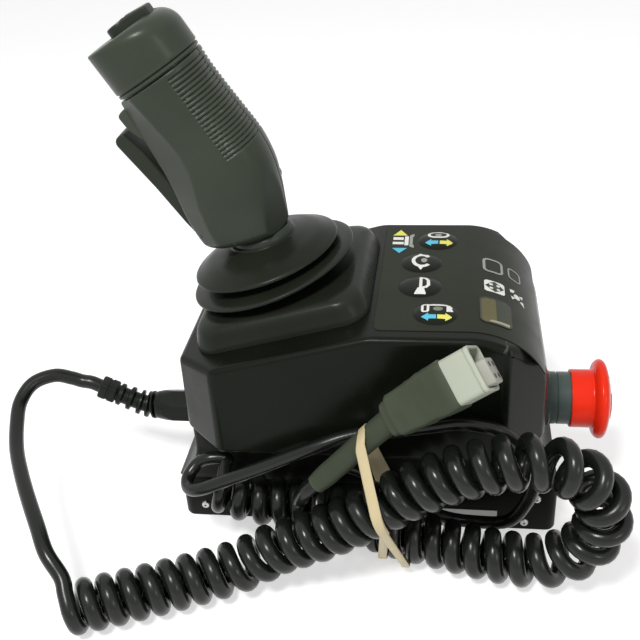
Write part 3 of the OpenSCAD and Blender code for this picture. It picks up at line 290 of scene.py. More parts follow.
def made(name, bm, crease):
    bmesh.ops.recalc_face_normals(bm, faces=bm.faces)
    mesh = bpy.data.meshes.new(name)
    bm.to_mesh(mesh)
    bm.free()
    mesh.shade_smooth()
    mesh.set_sharp_from_angle(angle=math.radians(crease))
    obj = bpy.data.objects.new(name, mesh)
    bpy.context.scene.collection.objects.link(obj)
    return obj


def piece_from(name, verts, faces, crease=40):
    bm = bmesh.new()
    made_verts = [bm.verts.new(v) for v in verts]
    for face in faces:
        bm.faces.new([made_verts[i] for i in face])
    bmesh.ops.remove_doubles(bm, verts=bm.verts, dist=2e-7)
    return made(name, bm, crease)


def placed(obj, material, body):
    """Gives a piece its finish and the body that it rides."""
    obj.data.materials.clear()
    obj.data.materials.append(material)
    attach(obj, body)
    return obj


def ring_faces(rings, sides, start=True, end=True):
    faces = []
    for k in range(rings - 1):
        for i in range(sides):
            j = (i + 1) % sides
            faces.append((k * sides + i, k * sides + j, (k + 1) * sides + j, (k + 1) * sides + i))
    if start:
        faces.append(tuple(range(sides - 1, -1, -1)))
    if end:
        faces.append(tuple((rings - 1) * sides + i for i in range(sides)))
    return faces


def turned(name, profile, place, sides=96, crease=40):
    """Turned piece: the profile is pairs of a distance along the axis and a radius."""
    verts = []
    for along, radius in profile:
        for i in range(sides):
            verts.append(place(along, max(radius, 0.01), 2 * math.pi * i / sides))
    return piece_from(name, verts, ring_faces(len(profile), sides), crease)


def lofted(name, rings, crease=40):
    verts = [point for ring in rings for point in ring]
    return piece_from(name, verts, ring_faces(len(rings), len(rings[0])), crease)


def spline_at(points, t):
    """Point on a smooth curve through all points, at a share of its way."""
    n = len(points) - 1
    k = min(n - 1, int(t * n))
    u = t * n - k
    b = points[k]
    c = points[k + 1]
    a = points[k - 1] if k > 0 else 2 * b - c
    d = points[k + 2] if k < n - 1 else 2 * c - b
    bent = 2 * a - 5 * b + 4 * c - d
    turned_back = 3 * b - a - 3 * c + d
    return (2 * b + (c - a) * u + bent * u * u + turned_back * u ** 3) / 2


def run_of(points, steps):
    points = [Vector(p) for p in points]
    return [spline_at(points, i / steps) for i in range(steps + 1)]


def smooth_profile(rows, steps):
    """Profile that runs smoothly through rows of two values."""
    return [(p.x, p.y) for p in run_of([(a, b, 0) for a, b in rows], steps)]


def heading(points, i):
    return (points[min(len(points) - 1, i + 1)] - points[max(0, i - 1)]).normalized()


def tube(name, points, radii, sides, crease=50):
    """Round tube through points in millimetres, with a radius at each."""
    rings = []
    side = Vector((0.1, 0.2, 1))
    for i, point in enumerate(points):
        way = heading(points, i)
        side = (side - way * side.dot(way)).normalized()
        up = way.cross(side)
        ring = []
        for k in range(sides):
            a = 2 * math.pi * k / sides
            ring.append((point + (side * math.cos(a) + up * math.sin(a)) * radii[i]) * MM)
        rings.append(ring)
    return lofted(name, rings, crease)


def slab(name, outline, half, place, radius, segments=3, angle=25, cuts=(), keep=None):
    """Slab: an outline pushed out to both sides of the middle plane, with rounded edges."""
    bm = bmesh.new()
    near = [bm.verts.new((u, -half, w)) for u, w in outline]
    far = [bm.verts.new((u, half, w)) for u, w in outline]
    bm.faces.new(near)
    bm.faces.new(far[::-1])
    for i in range(len(outline)):
        j = (i + 1) % len(outline)
        bm.faces.new([near[j], near[i], far[i], far[j]])
    bmesh.ops.recalc_face_normals(bm, faces=bm.faces)
    for point, normal in cuts:
        everything = bm.verts[:] + bm.edges[:] + bm.faces[:]
        cut = bmesh.ops.bisect_plane(bm, geom=everything, plane_co=point, plane_no=normal, clear_outer=True)
        rim = [e for e in cut["geom_cut"] if isinstance(e, bmesh.types.BMEdge)]
        bmesh.ops.edgeloop_fill(bm, edges=rim)
    bmesh.ops.recalc_face_normals(bm, faces=bm.faces)
    sharp = [e for e in bm.edges if len(e.link_faces) == 2 and e.calc_face_angle() > math.radians(angle)]
    if keep is not None:
        sharp = [e for e in sharp if not keep(e)]
    bmesh.ops.bevel(bm, geom=sharp, offset=radius, offset_type="OFFSET", segments=segments, profile=0.5,
                    affect="EDGES", clamp_overlap=False)
    for v in bm.verts:
        v.co = place(*v.co)
    obj = made(name, bm, 60)
    weighted(obj)
    return obj


def weighted(obj):
    modifier = obj.modifiers.new("normals", "WEIGHTED_NORMAL")
    modifier.keep_sharp = True
    modifier.weight = 50


def cut_with(obj, cutter):
    """Takes a helper solid out of a piece, and throws the helper away."""
    modifier = obj.modifiers.new("cut", "BOOLEAN")
    modifier.operation = "DIFFERENCE"
    modifier.solver = "EXACT"
    modifier.object = cutter
    bpy.context.view_layer.update()
    seen = obj.evaluated_get(bpy.context.evaluated_depsgraph_get())
    result = bpy.data.meshes.new_from_object(seen)
    obj.modifiers.remove(modifier)
    obj.data = result
    helper = cutter.data
    bpy.data.objects.remove(cutter)
    bpy.data.meshes.remove(helper)
    obj.data.set_sharp_from_angle(angle=math.radians(40))


def rounded_rectangle(l, w, r, steps=8):
    points = []
    for quarter in range(4):
        sx = 1 if quarter in (0, 3) else -1
        sy = 1 if quarter < 2 else -1
        for i in range(steps + 1):
            a = math.radians(90 * quarter + 90 * i / steps)
            points.append((sx * (l / 2 - r) + r * math.cos(a), sy * (w / 2 - r) + r * math.sin(a)))
    return points


def slot_cutter():
    """Helper solid of the slot in which the trigger swings."""
    cutter = slab("slot_cutter", SLOT_SIDE, SLOT_HALF_W, on_face, 0.4, 1, 20)
    cutter.modifiers.clear()
    return cutter


def new_node(nodes, kind, values):
    """Shader node with plain values on its named inputs."""
    node = nodes.new("ShaderNode" + kind)
    for name, value in values.items():
        node.inputs[name].default_value = value
    return node


def noise_node(nodes, links, where, scale, detail):
    noise = new_node(nodes, "TexNoise", {"Scale": scale, "Detail": detail})
    links.new(where.outputs["Object"], noise.inputs["Vector"])
    return noise


def surface(name, tone, rough, spread=0.12, grain=2400, depth=0.05, metallic=0.0, specular=0.5, edge_highlight=0.0):
    """Finish: a drifting tone, a fine grain, uneven gloss and edges painted paler as a highlight."""
    material = bpy.data.materials.new(name)
    material.use_nodes = True
    nodes = material.node_tree.nodes
    links = material.node_tree.links
    shader = nodes["Principled BSDF"]
    where = nodes.new("ShaderNodeTexCoord")
    drift = noise_node(nodes, links, where, 28, 5)
    ramp = nodes.new("ShaderNodeValToRGB")
    for element, place, share in zip(ramp.color_ramp.elements, (0.3, 0.7), (1 - spread, 1 + spread)):
        element.position = place
        element.color = [min(1, c * share) for c in tone] + [1]
    links.new(drift.outputs["Fac"], ramp.inputs["Fac"])
    last = ramp.outputs["Color"]
    # Painted highlight: pointiness makes the edges paler, standing in for the gloss on rounded edges.
    if edge_highlight > 0:
        edges = nodes.new("ShaderNodeNewGeometry")
        level = new_node(nodes, "MapRange", {"From Min": 0.51, "From Max": 0.6, "To Max": edge_highlight})
        pale = nodes.new("ShaderNodeMix")
        pale.data_type = "RGBA"
        pale.inputs["B"].default_value = [min(1, c * 2.2 + 0.05) for c in tone] + [1]
        links.new(edges.outputs["Pointiness"], level.inputs["Value"])
        links.new(level.outputs["Result"], pale.inputs["Factor"])
        links.new(last, pale.inputs["A"])
        last = pale.outputs["Result"]
    links.new(last, shader.inputs["Base Color"])
    fine = noise_node(nodes, links, where, grain, 2)
    bump = new_node(nodes, "Bump", {"Strength": 0.5, "Distance": depth * MM})
    links.new(fine.outputs["Fac"], bump.inputs["Height"])
    links.new(bump.outputs["Normal"], shader.inputs["Normal"])
    broad = noise_node(nodes, links, where, 60, 6)
    gloss = new_node(nodes, "MapRange", {"From Min": 0.3, "From Max": 0.7, "To Min": rough - 0.06,
                                         "To Max": rough + 0.06})
    links.new(broad.outputs["Fac"], gloss.inputs["Value"])
    links.new(gloss.outputs["Result"], shader.inputs["Roughness"])
    shader.inputs["Metallic"].default_value = metallic
    shader.inputs["Specular IOR Level"].default_value = specular
    return material


def seen_directly(nodes, links, path):
    """One for camera, glossy and transmission rays, so that shiny pieces show the white room too."""
    first = nodes.new("ShaderNodeMath")
    first.operation = "MAXIMUM"
    second = nodes.new("ShaderNodeMath")
    second.operation = "MAXIMUM"
    links.new(path.outputs["Is Camera Ray"], first.inputs[0])
    links.new(path.outputs["Is Glossy Ray"], first.inputs[1])
    links.new(first.outputs[0], second.inputs[0])
    links.new(path.outputs["Is Transmission Ray"], second.inputs[1])
    return second.outputs[0]


def dress(node, material):
    """Gives a carried-over solid its finish."""
    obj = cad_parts[node]
    for place in obj.material_slots:
        place.material = material
    if not obj.material_slots:
        obj.data.materials.append(material)
    return obj


def softened(node, width, segments=2):
    """Rounds a carried-over solid's edges with modifiers; its mesh stays as it is."""
    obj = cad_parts[node]
    weld = obj.modifiers.new("weld", "WELD")
    weld.merge_threshold = 0.01 * MM
    bevel = obj.modifiers.new("edges", "BEVEL")
    bevel.width = width * MM
    bevel.segments = segments
    bevel.limit_method = "ANGLE"
    bevel.angle_limit = math.radians(35)
    bevel.use_clamp_overlap = True
    bevel.harden_normals = True


def dome_share(r):
    """Height of a key's dome at a share of its radius: flat in the middle, steep at the rim."""
    if r >= 1:
        return 0.0
    return (1 - r ** 3.2) ** 0.85


def stroke(points, width, closed=False):
    """Quads of a line of constant width through points, with mitred corners."""
    n = len(points)
    left = []
    right = []
    for i in range(n):
        a = Vector(points[i - 1] if i > 0 or closed else points[i])
        b = Vector(points[i])
        c = Vector(points[(i + 1) % n] if i < n - 1 or closed else points[i])
        first = (b - a).normalized() if (b - a).length > 0 else (c - b).normalized()
        second = (c - b).normalized() if (c - b).length > 0 else first
        along = (first + second).normalized()
        out = Vector((-along.y, along.x)) / max(0.5, along.dot(first))
        left.append(b + out * width / 2)
        right.append(b - out * width / 2)
    quads = []
    for i in range(n if closed else n - 1):
        j = (i + 1) % n
        quads.append([left[i], left[j], right[j], right[i]])
    return quads


def arrow(tip, length, half, shaft, back):
    """Arrow along X from its tip: back is 1 if it points to the left and -1 if to the right."""
    x, y = tip
    head = x + back * length * 0.48
    tail = x + back * length
    return [(x, y), (head, y + half), (head, y + shaft), (tail, y + shaft), (tail, y - shaft),
            (head, y - shaft), (head, y - half)]


def ellipse(x, y, a, b, start=0, end=360, steps=28):
    turns = [math.radians(start + (end - start) / steps * i) for i in range(steps + (end - start < 360))]
    return [(x + a * math.cos(turn), y + b * math.sin(turn)) for turn in turns]


def sliced(bm, start, end, step, way):
    """Cuts a flat mesh at every step along one way, so that it can follow a curve."""
    while start < end:
        everything = bm.verts[:] + bm.edges[:] + bm.faces[:]
        bmesh.ops.bisect_plane(bm, geom=everything, plane_co=way * start, plane_no=way)
        start += step


def raised(bm, height):
    """Extrudes a flat mesh up to a height."""
    pushed = bmesh.ops.extrude_face_region(bm, geom=bm.faces[:])
    for item in pushed["geom"]:
        if isinstance(item, bmesh.types.BMVert):
            item.co.z = height


def printed(name, polygons, material, body="housing", lift=0.08, thick=0.1):
    """Thin printed shapes that follow the film, the rolled end or a key's dome."""
    bm = bmesh.new()
    for polygon in polygons:
        bm.faces.new([bm.verts.new((p[0], p[1], 0)) for p in polygon])
    bmesh.ops.triangulate(bm, faces=bm.faces)
    ways = (Vector((1, 0, 0)), Vector((0, 1, 0)))
    spans = [[way.dot(v.co) for v in bm.verts] for way in ways]
    for way, span in zip(ways, spans):
        sliced(bm, min(span) + PRINT_STEP, max(span), PRINT_STEP, way)
    raised(bm, thick)
    for v in bm.verts:
        high = FILM + lift + v.co.z
        if body in KEYS:
            key = Vector(KEYS[body])
            off = v.co.xy - key
            off *= min(1, PRINT_R / max(off.length, 0.1))
            v.co.xy = key + off
            high += KEY_DOME * dome_share((v.co.xy - key).length / KEY_R)
        v.co = on_film(v.co.x, v.co.y, high)
    return placed(made(name, bm, 40), material, body)


def key_print(name, polygons, material, key):
    """Printed shapes on a key's dome, which travel with the key."""
    return printed(name, polygons, material, key)


def turned_key(name, key, material):
    """Domed key that stands for the solid of the same key."""
    base = CROWN[1] + CROWN_R + FILM
    profile = [(base - 1.2, KEY_R - 0.1), (base - 0.1, KEY_R + 0.15)]
    for i in range(1, 25):
        r = 1 - (i / 24) ** 1.5
        profile.append((base + KEY_DOME * dome_share(r), r * KEY_R))
    dome = turned(name, profile, upright(*KEYS[key]), 96, 60)
    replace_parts(placed(dome, material, key), key)


class CONTROLBOX_OT_stage(bpy.types.Operator):
    """Sets the camera, the lamps, the plain floor and the white background"""
    bl_idname = "controlbox.stage"
    bl_label = "Camera, light and floor"

    def execute(self, context):
        box = settings().stage
        scene = context.scene
        flat = math.cos(CAMERA_ELEVATION)
        back = Vector((math.sin(CAMERA_AZIMUTH) * flat, -math.cos(CAMERA_AZIMUTH) * flat,
                       math.sin(CAMERA_ELEVATION)))
        right = (-back).cross(Vector((0, 0, 1))).normalized()
        up = right.cross(-back)
        across = right * math.cos(CAMERA_ROLL) - up * math.sin(CAMERA_ROLL)
        above = right * math.sin(CAMERA_ROLL) + up * math.cos(CAMERA_ROLL)
        lens = bpy.data.cameras.new("camera")
        lens.lens = CAMERA_LENS
        lens.sensor_width = 36
        lens.clip_end = 20
        camera = bpy.data.objects.new("camera", lens)
        turn = Matrix((across, above, back)).transposed().to_4x4()
        camera.matrix_world = Matrix.Translation(Vector(CAMERA_PLACE)) @ turn
        scene.collection.objects.link(camera)
        scene.camera = camera
        self.lamp(scene, "key_lamp", (-0.24, -0.66, 1.12), 0.28, box.key)
        self.lamp(scene, "fill_lamp", (0.85, -0.8, 0.6), 0.3, box.fill)
        self.world(scene, box.ambient)
        self.floor(scene)
        scene.view_settings.view_transform = "Standard"
        return {"FINISHED"}

    def lamp(self, scene, name, place, size, power):
        light = bpy.data.lights.new(name, "AREA")
        light.shape = "SQUARE"
        light.size = size
        light.energy = power
        obj = bpy.data.objects.new(name, light)
        obj.location = place
        obj.rotation_euler = (LAMP_AIM - Vector(place)).to_track_quat("-Z", "Y").to_euler()
        scene.collection.objects.link(obj)

    def world(self, scene, ambient):
        world = bpy.data.worlds.new("white_room")
        scene.world = world
        world.use_nodes = True
        nodes = world.node_tree.nodes
        links = world.node_tree.links
        plain = nodes["Background"]
        plain.inputs["Color"].default_value = (ambient, ambient, ambient, 1)
        plain.inputs["Strength"].default_value = 1
        white = new_node(nodes, "Background", {"Color": (1, 1, 1, 1), "Strength": 1})
        path = nodes.new("ShaderNodeLightPath")
        mix = nodes.new("ShaderNodeMixShader")
        links.new(seen_directly(nodes, links, path), mix.inputs["Fac"])
        links.new(plain.outputs["Background"], mix.inputs[1])
        links.new(white.outputs["Background"], mix.inputs[2])
        links.new(mix.outputs["Shader"], nodes["World Output"].inputs["Surface"])

    def floor(self, scene):
        bm = bmesh.new()
        bmesh.ops.create_grid(bm, x_segments=8, y_segments=8, size=3.0)
        obj = made("floor", bm, 40)
        obj.location = (0, 0, -0.0002)
        paper = surface("floor_paper", (0.8, 0.8, 0.8), 0.9, 0.01, 400, 0.02, 0, 0.1)
        nodes = paper.node_tree.nodes
        links = paper.node_tree.links
        path = nodes.new("ShaderNodeLightPath")
        shader = nodes["Principled BSDF"]
        shader.inputs["Emission Color"].default_value = (0.56, 0.56, 0.56, 1)
        links.new(seen_directly(nodes, links, path), shader.inputs["Emission Strength"])
        obj.data.materials.append(paper)


class CONTROLBOX_OT_cord(bpy.types.Operator):
    """Draws the whole cord as one tube: straight tail, curls and thinner lead, with its connector"""
    bl_idname = "controlbox.cord"
    bl_label = "Cord and connector"

    def execute(self, context):
        box = settings().cord
        jacket = surface("jacket", box.jacket, 0.25, 0.16, 1500, 0.02, 0, 0.3)
        points, radii = self.line()
        cord = placed(tube("curly_cord", points, radii, box.sides), jacket, "housing")
        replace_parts(cord, "cord_tail", "coil_cord", "cord_lead")
        pieces = self.connector(box)
        pieces.append(self.band(box))
        return {"FINISHED"}

    def line(self):
        """Centre line of the cord and its radius at each point"""
        fine = run_of(CURL_ROUTE, 20 * (len(CURL_ROUTE) - 1))
        n = len(fine)
        steps = [(fine[i] - fine[i - 1]).length for i in range(1, n)]
        bend = [(heading(fine, i) - heading(fine, i - 1)).length / steps[i - 1] for i in range(1, n)]
        turned_sum = [0.0]
        for i in range(n - 1):
            near = bend[max(0, i - 7):min(n - 2, i + 7) + 1]
            turned_sum.append(turned_sum[-1] + steps[i] * (1 - CURL_R * sum(near) / len(near)) / CURL_PITCH)
        curls = math.floor(turned_sum[-1] - END_TURN) + END_TURN
        share = [t * curls / turned_sum[-1] for t in turned_sum]
        per_turn = 24
        total = round(curls * per_turn / 3) * 3

        def axis(k):
            turn = max(0, min(total, k)) / per_turn
            i = 0
            while i < n - 2 and share[i + 1] < turn:
                i += 1
            f = (turn - share[i]) / (share[i + 1] - share[i])
            return fine[i].lerp(fine[i + 1], max(0, min(1, f)))

        wound = []
        for k in range(total + 1):
            c = (axis(k + 3) - axis(k - 3)).normalized()
            u = c.cross(Vector((0, 1, 0))).normalized()
            v = c.cross(u)
            a = 2 * math.pi * (k / per_turn + START_TURN)
            wound.append(axis(k) + (u * math.cos(a) + v * math.sin(a)) * CURL_R)
        before = self.leaving(wound[0], wound[3], wound[6])
        after = self.leaving(wound[-1], wound[-4], wound[-7])
        first = wound[0] + before * WIRE_D
        last = wound[-1] + after * WIRE_D
        inlet = (PLUG_BEND - PLUG_TAIL).normalized()
        tail = run_of(TAIL_ROUTE + [first + before * CORD_D, first], 110)
        lead = run_of([last, last + after * LEAD_D / 2, last + after * LEAD_D] + LEAD_ROUTE
                      + [PLUG_TAIL - inlet * LEAD_D, PLUG_TAIL + inlet * 2], 200)
        points = tail + [wound[0] + before * WIRE_D / 2] + wound + [wound[-1] + after * WIRE_D / 2] + lead
        radii = [CORD_D / 2] * len(tail)
        for i in range(len(wound) + 2):
            near = CORD_D if i < total / 2 else LEAD_D
            far = min(i, total + 2 - i) / per_turn
            radii.append((near + (WIRE_D - near) * eased(far)) / 2)
        radii += [LEAD_D / 2] * len(lead)
        return points, radii

    def leaving(self, a, b, c):
        """Way out of the curls, from the first three points at one end of them"""
        return (2.5 * a - 4 * b + 1.5 * c).normalized()

    def connector(self, box):
        # The last value of these finishes is the strength of the painted edge highlight.
        rubber = surface("sleeve_rubber", box.sleeve, 0.42, 0.14, 1800, 0.05, 0, 0.12, 0.25)
        shell = surface("connector_shell", box.shell, 0.42, 0.06, 1400, 0.04, 0, 0.3, 0.2)
        # Painted shade: dark finish for the floor of the mouth and the socket holes.
        dark = surface("connector_recess_shade", screen(30, 31, 30), 0.5)
        pale = surface("connector_wedge", screen(160, 160, 148), 0.45, 0.05, 1500, 0.04, 0, 0.3)
        pins = surface("connector_pins", screen(196, 168, 96), 0.3, 0.1, 900, 0.02, 1.0)
        end = PLUG_BEND + PLUG_WAY * (SLEEVE_L * 0.4)
        route = [PLUG_TAIL, PLUG_TAIL.lerp(PLUG_BEND, 0.45), PLUG_TAIL.lerp(PLUG_BEND, 0.85),
                 PLUG_BEND.lerp(end, 0.2), end]
        points = run_of(route, 60)
        radii = []
        for i in range(61):
            t = i / 60
            radii.append(4.9 + 1.3 * t - 0.5 * bump_at(t, 0.0, 0.03) + 0.15 * bump_at(t, 0.1, 0.02))
        boot = placed(tube("connector_slim_boot", points, radii, 40), rubber, "housing")
        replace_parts(boot, "connector_boot")
        rows = [(-0.4, 9, 9, 0), (-0.2, 12.6, 12, 0), (0.6, 15, 13.6, 0), (2, 15.8, 14.4, 0.2),
                (3.4, 16, 14.6, 0.2), (4, 17.4, 15.8, 0.3), (5, 18.4, 16.4, 0.4), (9, 18.9, 16.9, 0.5),
                (13, 19.5, 17.5, 0.5), (16, 20.3, 17.8, 0.6), (18, 20.2, 18.1, 0.7), (22, 21, 18.4, 0.8),
                (25, 21.7, 18.6, 0.8), (29, 22, 18.9, 0.8), (33, 21.8, 19.2, 0.8), (33.6, 21.4, 18.8, 0.8),
                (33.6, 18, 16, 0.8)]
        rings = square_rings(rows, 3)
        for k, ring in enumerate(rings):
            if 5 < k < len(rings) - 2:
                middle = (PLUG_BEND + PLUG_WAY * rows[k][0]) * MM
                for i, point in enumerate(ring):
                    wave = 0.3 * math.sin(i * 1.1 + k * 2.3) + 0.2 * math.sin(i * 0.4 - k * 1.7)
                    ring[i] = middle + (point - middle) * (1 + 0.05 * wave)
        sleeve = placed(lofted("connector_sleeve", rings, 50), rubber, "housing")
        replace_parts(sleeve, "connector_backshell")
        rows = [(33, 18, 16, 0.8), (33, 20.2, 18.2, 0.8), (33.6, 20.6, 18.6, 0.8), (44.6, 20.6, 18.6, 0.8),
                (44.8, 20.1, 18.1, 0.8), (45.2, 20.1, 18.1, 0.8), (45.4, 20.8, 18.8, 0.8),
                (46.8, 20.8, 18.8, 0.8), (47.1, 20.2, 18.2, 0.8), (47.1, 18.4, 16.4, 0.8),
                (46.7, 17.9, 15.9, 0.8), (39, 17.7, 15.7, 0.8)]
        mouth = lofted("connector_mouth", square_rings(rows, 2.6, 7), 30)
        body = placed(mouth, shell, "housing")
        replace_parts(body, "connector_shell")
        # Dark plate at the floor of the mouth: painted shade in the gap round the block.
        rings = square_rings([(39.1, 17.5, 15.5, 0.8), (39.6, 17.5, 15.5, 0.8)], 2.4)
        floor = placed(lofted("connector_floor", rings, 30), dark, "housing")
        rings = []
        for along, grow in ((39.3, 0), (49.8, 0), (50.3, -0.2), (50.5, -0.6)):
            plan = rounded_rectangle(11.4 + 2 * grow, 11.4 + 2 * grow, 1.2, 5)
            rings.append([on_shell(along, a - 1.9, b - 0.8) for a, b in plan])
        wedge = placed(lofted("connector_block", rings, 35), pale, "housing")
        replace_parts(wedge, "connector_wedge")
        dress("connector_contacts", pins)
        # Dark discs on the block's face: painted shade in the socket holes.
        holes = []
        for a in (-2.7, 2.7):
            for b in (-2.7, 2.7):
                ring = ellipse(a - 1.9, b - 0.8, 1.2, 1.2, 0, 360, 16)
                faces = [[on_shell(along, p, q) for p, q in ring] for along in (50.1, 50.6)]
                holes.append(placed(lofted("connector_socket", faces, 35), dark, "housing"))
        return [boot, sleeve, body, floor, wedge] + holes + [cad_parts["connector_contacts"]]

    def band(self, box):
        """Rubber band: one strand round the curls and the plug, and a second one that splits off low down"""
        rubber = surface("band_rubber", box.band, 0.42, 0.06, 600, 0.03, 0, 0.5)
        round_curls = CURL_R + WIRE_D / 2 + 0.9
        top = Vector((-77.3, 82))
        round_plug = 6.1
        low_across = 22
        high_across = 3.9
        strands = [(Vector((-81.4, 53)), Vector((-62.8, 16.5)), 22, 0.9),
                   (Vector((-81.6, 52.4)), Vector((-60.4, 17.8)), 11, 0)]
        section = ((-1, 0), (-1, 0.5), (-0.8, 1), (0.8, 1), (1, 0.5), (1, 0))
        slim = (PLUG_BEND - PLUG_TAIL).normalized()
        verts = []
        faces = []
        steps = 120
        for number, (upper, lower, foot_across, slack) in enumerate(strands):
            rounds = [(upper, round_curls + slack), (lower, round_curls + slack), (top, round_plug + slack)]
            start = len(verts)
            for i in range(steps):
                a = 2 * math.pi * (i + 0.5) / steps
                n = Vector((math.cos(a), math.sin(a)))
                centre, radius = max(rounds, key=lambda c: c[0].dot(n) + c[1])
                p = centre + n * radius
                up = max(0, min(1, (p.y - lower.y) / (top.y - lower.y)))
                across_at = low_across - (low_across - high_across) * up
                if number == 1:
                    across_at += (foot_across - across_at) * (1 - eased(up / 0.3))
                middle = Vector((across_at, p.x, p.y))
                side = Vector((1, 0, 0)).lerp(slim, up).normalized()
                out = Vector((0, n.x, n.y))
                half = (2 + 0.6 * up) * (1 + 0.08 * math.sin(3 * a + number * 2))
                for across, rise in section:
                    verts.append((middle + side * (half * across) + out * (0.8 * rise)) * MM)
            for i in range(steps):
                j = (i + 1) % steps
                for k in range(6):
                    m = (k + 1) % 6
                    faces.append((start + 6 * i + k, start + 6 * j + k, start + 6 * j + m, start + 6 * i + m))
        obj = placed(piece_from("band_strip", verts, faces, 50), rubber, "housing")
        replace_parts(obj, "rubber_band")
        return obj


class CONTROLBOX_OT_housing(bpy.types.Operator):
    """Builds the upper housing, the neck and the foot with moulded edges"""
    bl_idname = "controlbox.housing"
    bl_label = "Housing and foot"

    def execute(self, context):
        box = settings().housing
        # The last value of these finishes is the strength of the painted edge highlight.
        plastic = surface("housing_moulded", box.plastic, 0.27, 0.14, 1900, 0.03, 0, 0.1, 0.9)
        tray = surface("tray_moulded", [c * 0.9 for c in box.plastic], 0.4, 0.14, 1700, 0.05, 0, 0.06, 0.2)
        outline = [(-BODY_END, BODY_FLOOR), (BODY_END, BODY_FLOOR), (BODY_END, CROWN[1])]
        for i in range(1, 41):
            a = math.radians(90 - 90 * i / 40)
            outline.append((CROWN[0] + CROWN_R * math.sin(a), CROWN[1] + CROWN_R * math.cos(a)))
        outline += [FACE_TOP, (-BODY_END, FACE_FOOT)]
        cuts = []
        for sx in (-1, 1):
            for sy in (-1, 1):
                cuts.append(((sx * BODY_CORNER, sy * BODY_HALF_W, 60), Vector((sx, sy, 0)).normalized()))
        upper = slab("housing_shell", outline, BODY_HALF_W, on_box, box.edge / MM, 4, 12, cuts)
        placed(upper, plastic, "housing")
        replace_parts(upper, "main_housing")
        flare = []
        for i in range(13):
            a = math.radians(237.9 - 57.9 * i / 12)
            flare.append((FLARE[0] + FLARE_R * math.cos(a), FLARE[1] + FLARE_R * math.sin(a)))
        outline = [(-FOOT_L / 2, FOOT_H), (FOOT_L / 2, FOOT_H)] + flare[1:]
        outline += [(NECK_END, BODY_FLOOR + 1), (-NECK_END, BODY_FLOOR + 1)]
        outline += [(-x, z) for x, z in flare[:0:-1]]

        def hidden(edge):
            heights = [v.co.z for v in edge.verts]
            return max(heights) < FOOT_H + 0.1 or min(heights) > BODY_FLOOR - 1

        neck = slab("neck_shell", outline, NECK_W / 2, on_box, 2.0, 3, 25, (), hidden)
        placed(neck, plastic, "housing")
        self.foot(tray)
        self.trims()
        dress("tray_gasket", surface("gasket_rubber", screen(22, 22, 22), 0.7))
        return {"FINISHED"}

    def foot(self, material):
        rings = []
        for z, inset in ((0, 1.2), (0.35, 0.4), (1.2, 0), (24.8, 0), (25.7, 0.3), (26, 0.9)):
            plan = rounded_rectangle(FOOT_L - 2 * inset, NECK_W - 2 * inset, 5 - inset, 8)
            rings.append([on_box(x, y, z) for x, y in plan])
        foot = lofted("foot_tray", rings, 35)
        for x in (-FOOT_HOLE[0], FOOT_HOLE[0]):
            for y in (-FOOT_HOLE[1], FOOT_HOLE[1]):
                cut_with(foot, turned("foot_hole", [(-1, FOOT_HOLE_R), (8, FOOT_HOLE_R)], upright(x, y), 32))
        placed(foot, material, "housing")
        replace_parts(foot, "base_tray")

    def trims(self):
        """Blank label strip and the small screws in the foot"""
        steel = surface("trim_steel", screen(190, 192, 188), 0.3, 0.1, 700, 0.03, 1.0)
        plate = surface("label_foil", screen(176, 178, 174), 0.35, 0.12, 500, 0.03, 0.6)
        strip = slab("label_strip", [(39, 0.6), (66, 0.6), (66, 12.2), (39, 12.2)], 0.25,
                     lambda x, y, z: on_box(x, -NECK_W / 2 - 0.2 + y, z), 0.12, 2)
        placed(strip, plate, "housing")
        profile = [(-0.5, 2.2), (0.3, 2.2), (0.9, 1.8), (1.15, 1.1), (1.15, 0.7), (0.5, 0.6), (0.5, 0)]
        for number, (x, z) in enumerate(((84.9, 20.7), (79.5, 5.3), (-83.4, 8))):
            place = lambda t, r, a: on_box(x + r * math.cos(a), -NECK_W / 2 - t, z + r * math.sin(a))
            screw = turned("foot_screw_%d" % number, profile, place, 32, 35)
            placed(screw, steel, "housing")


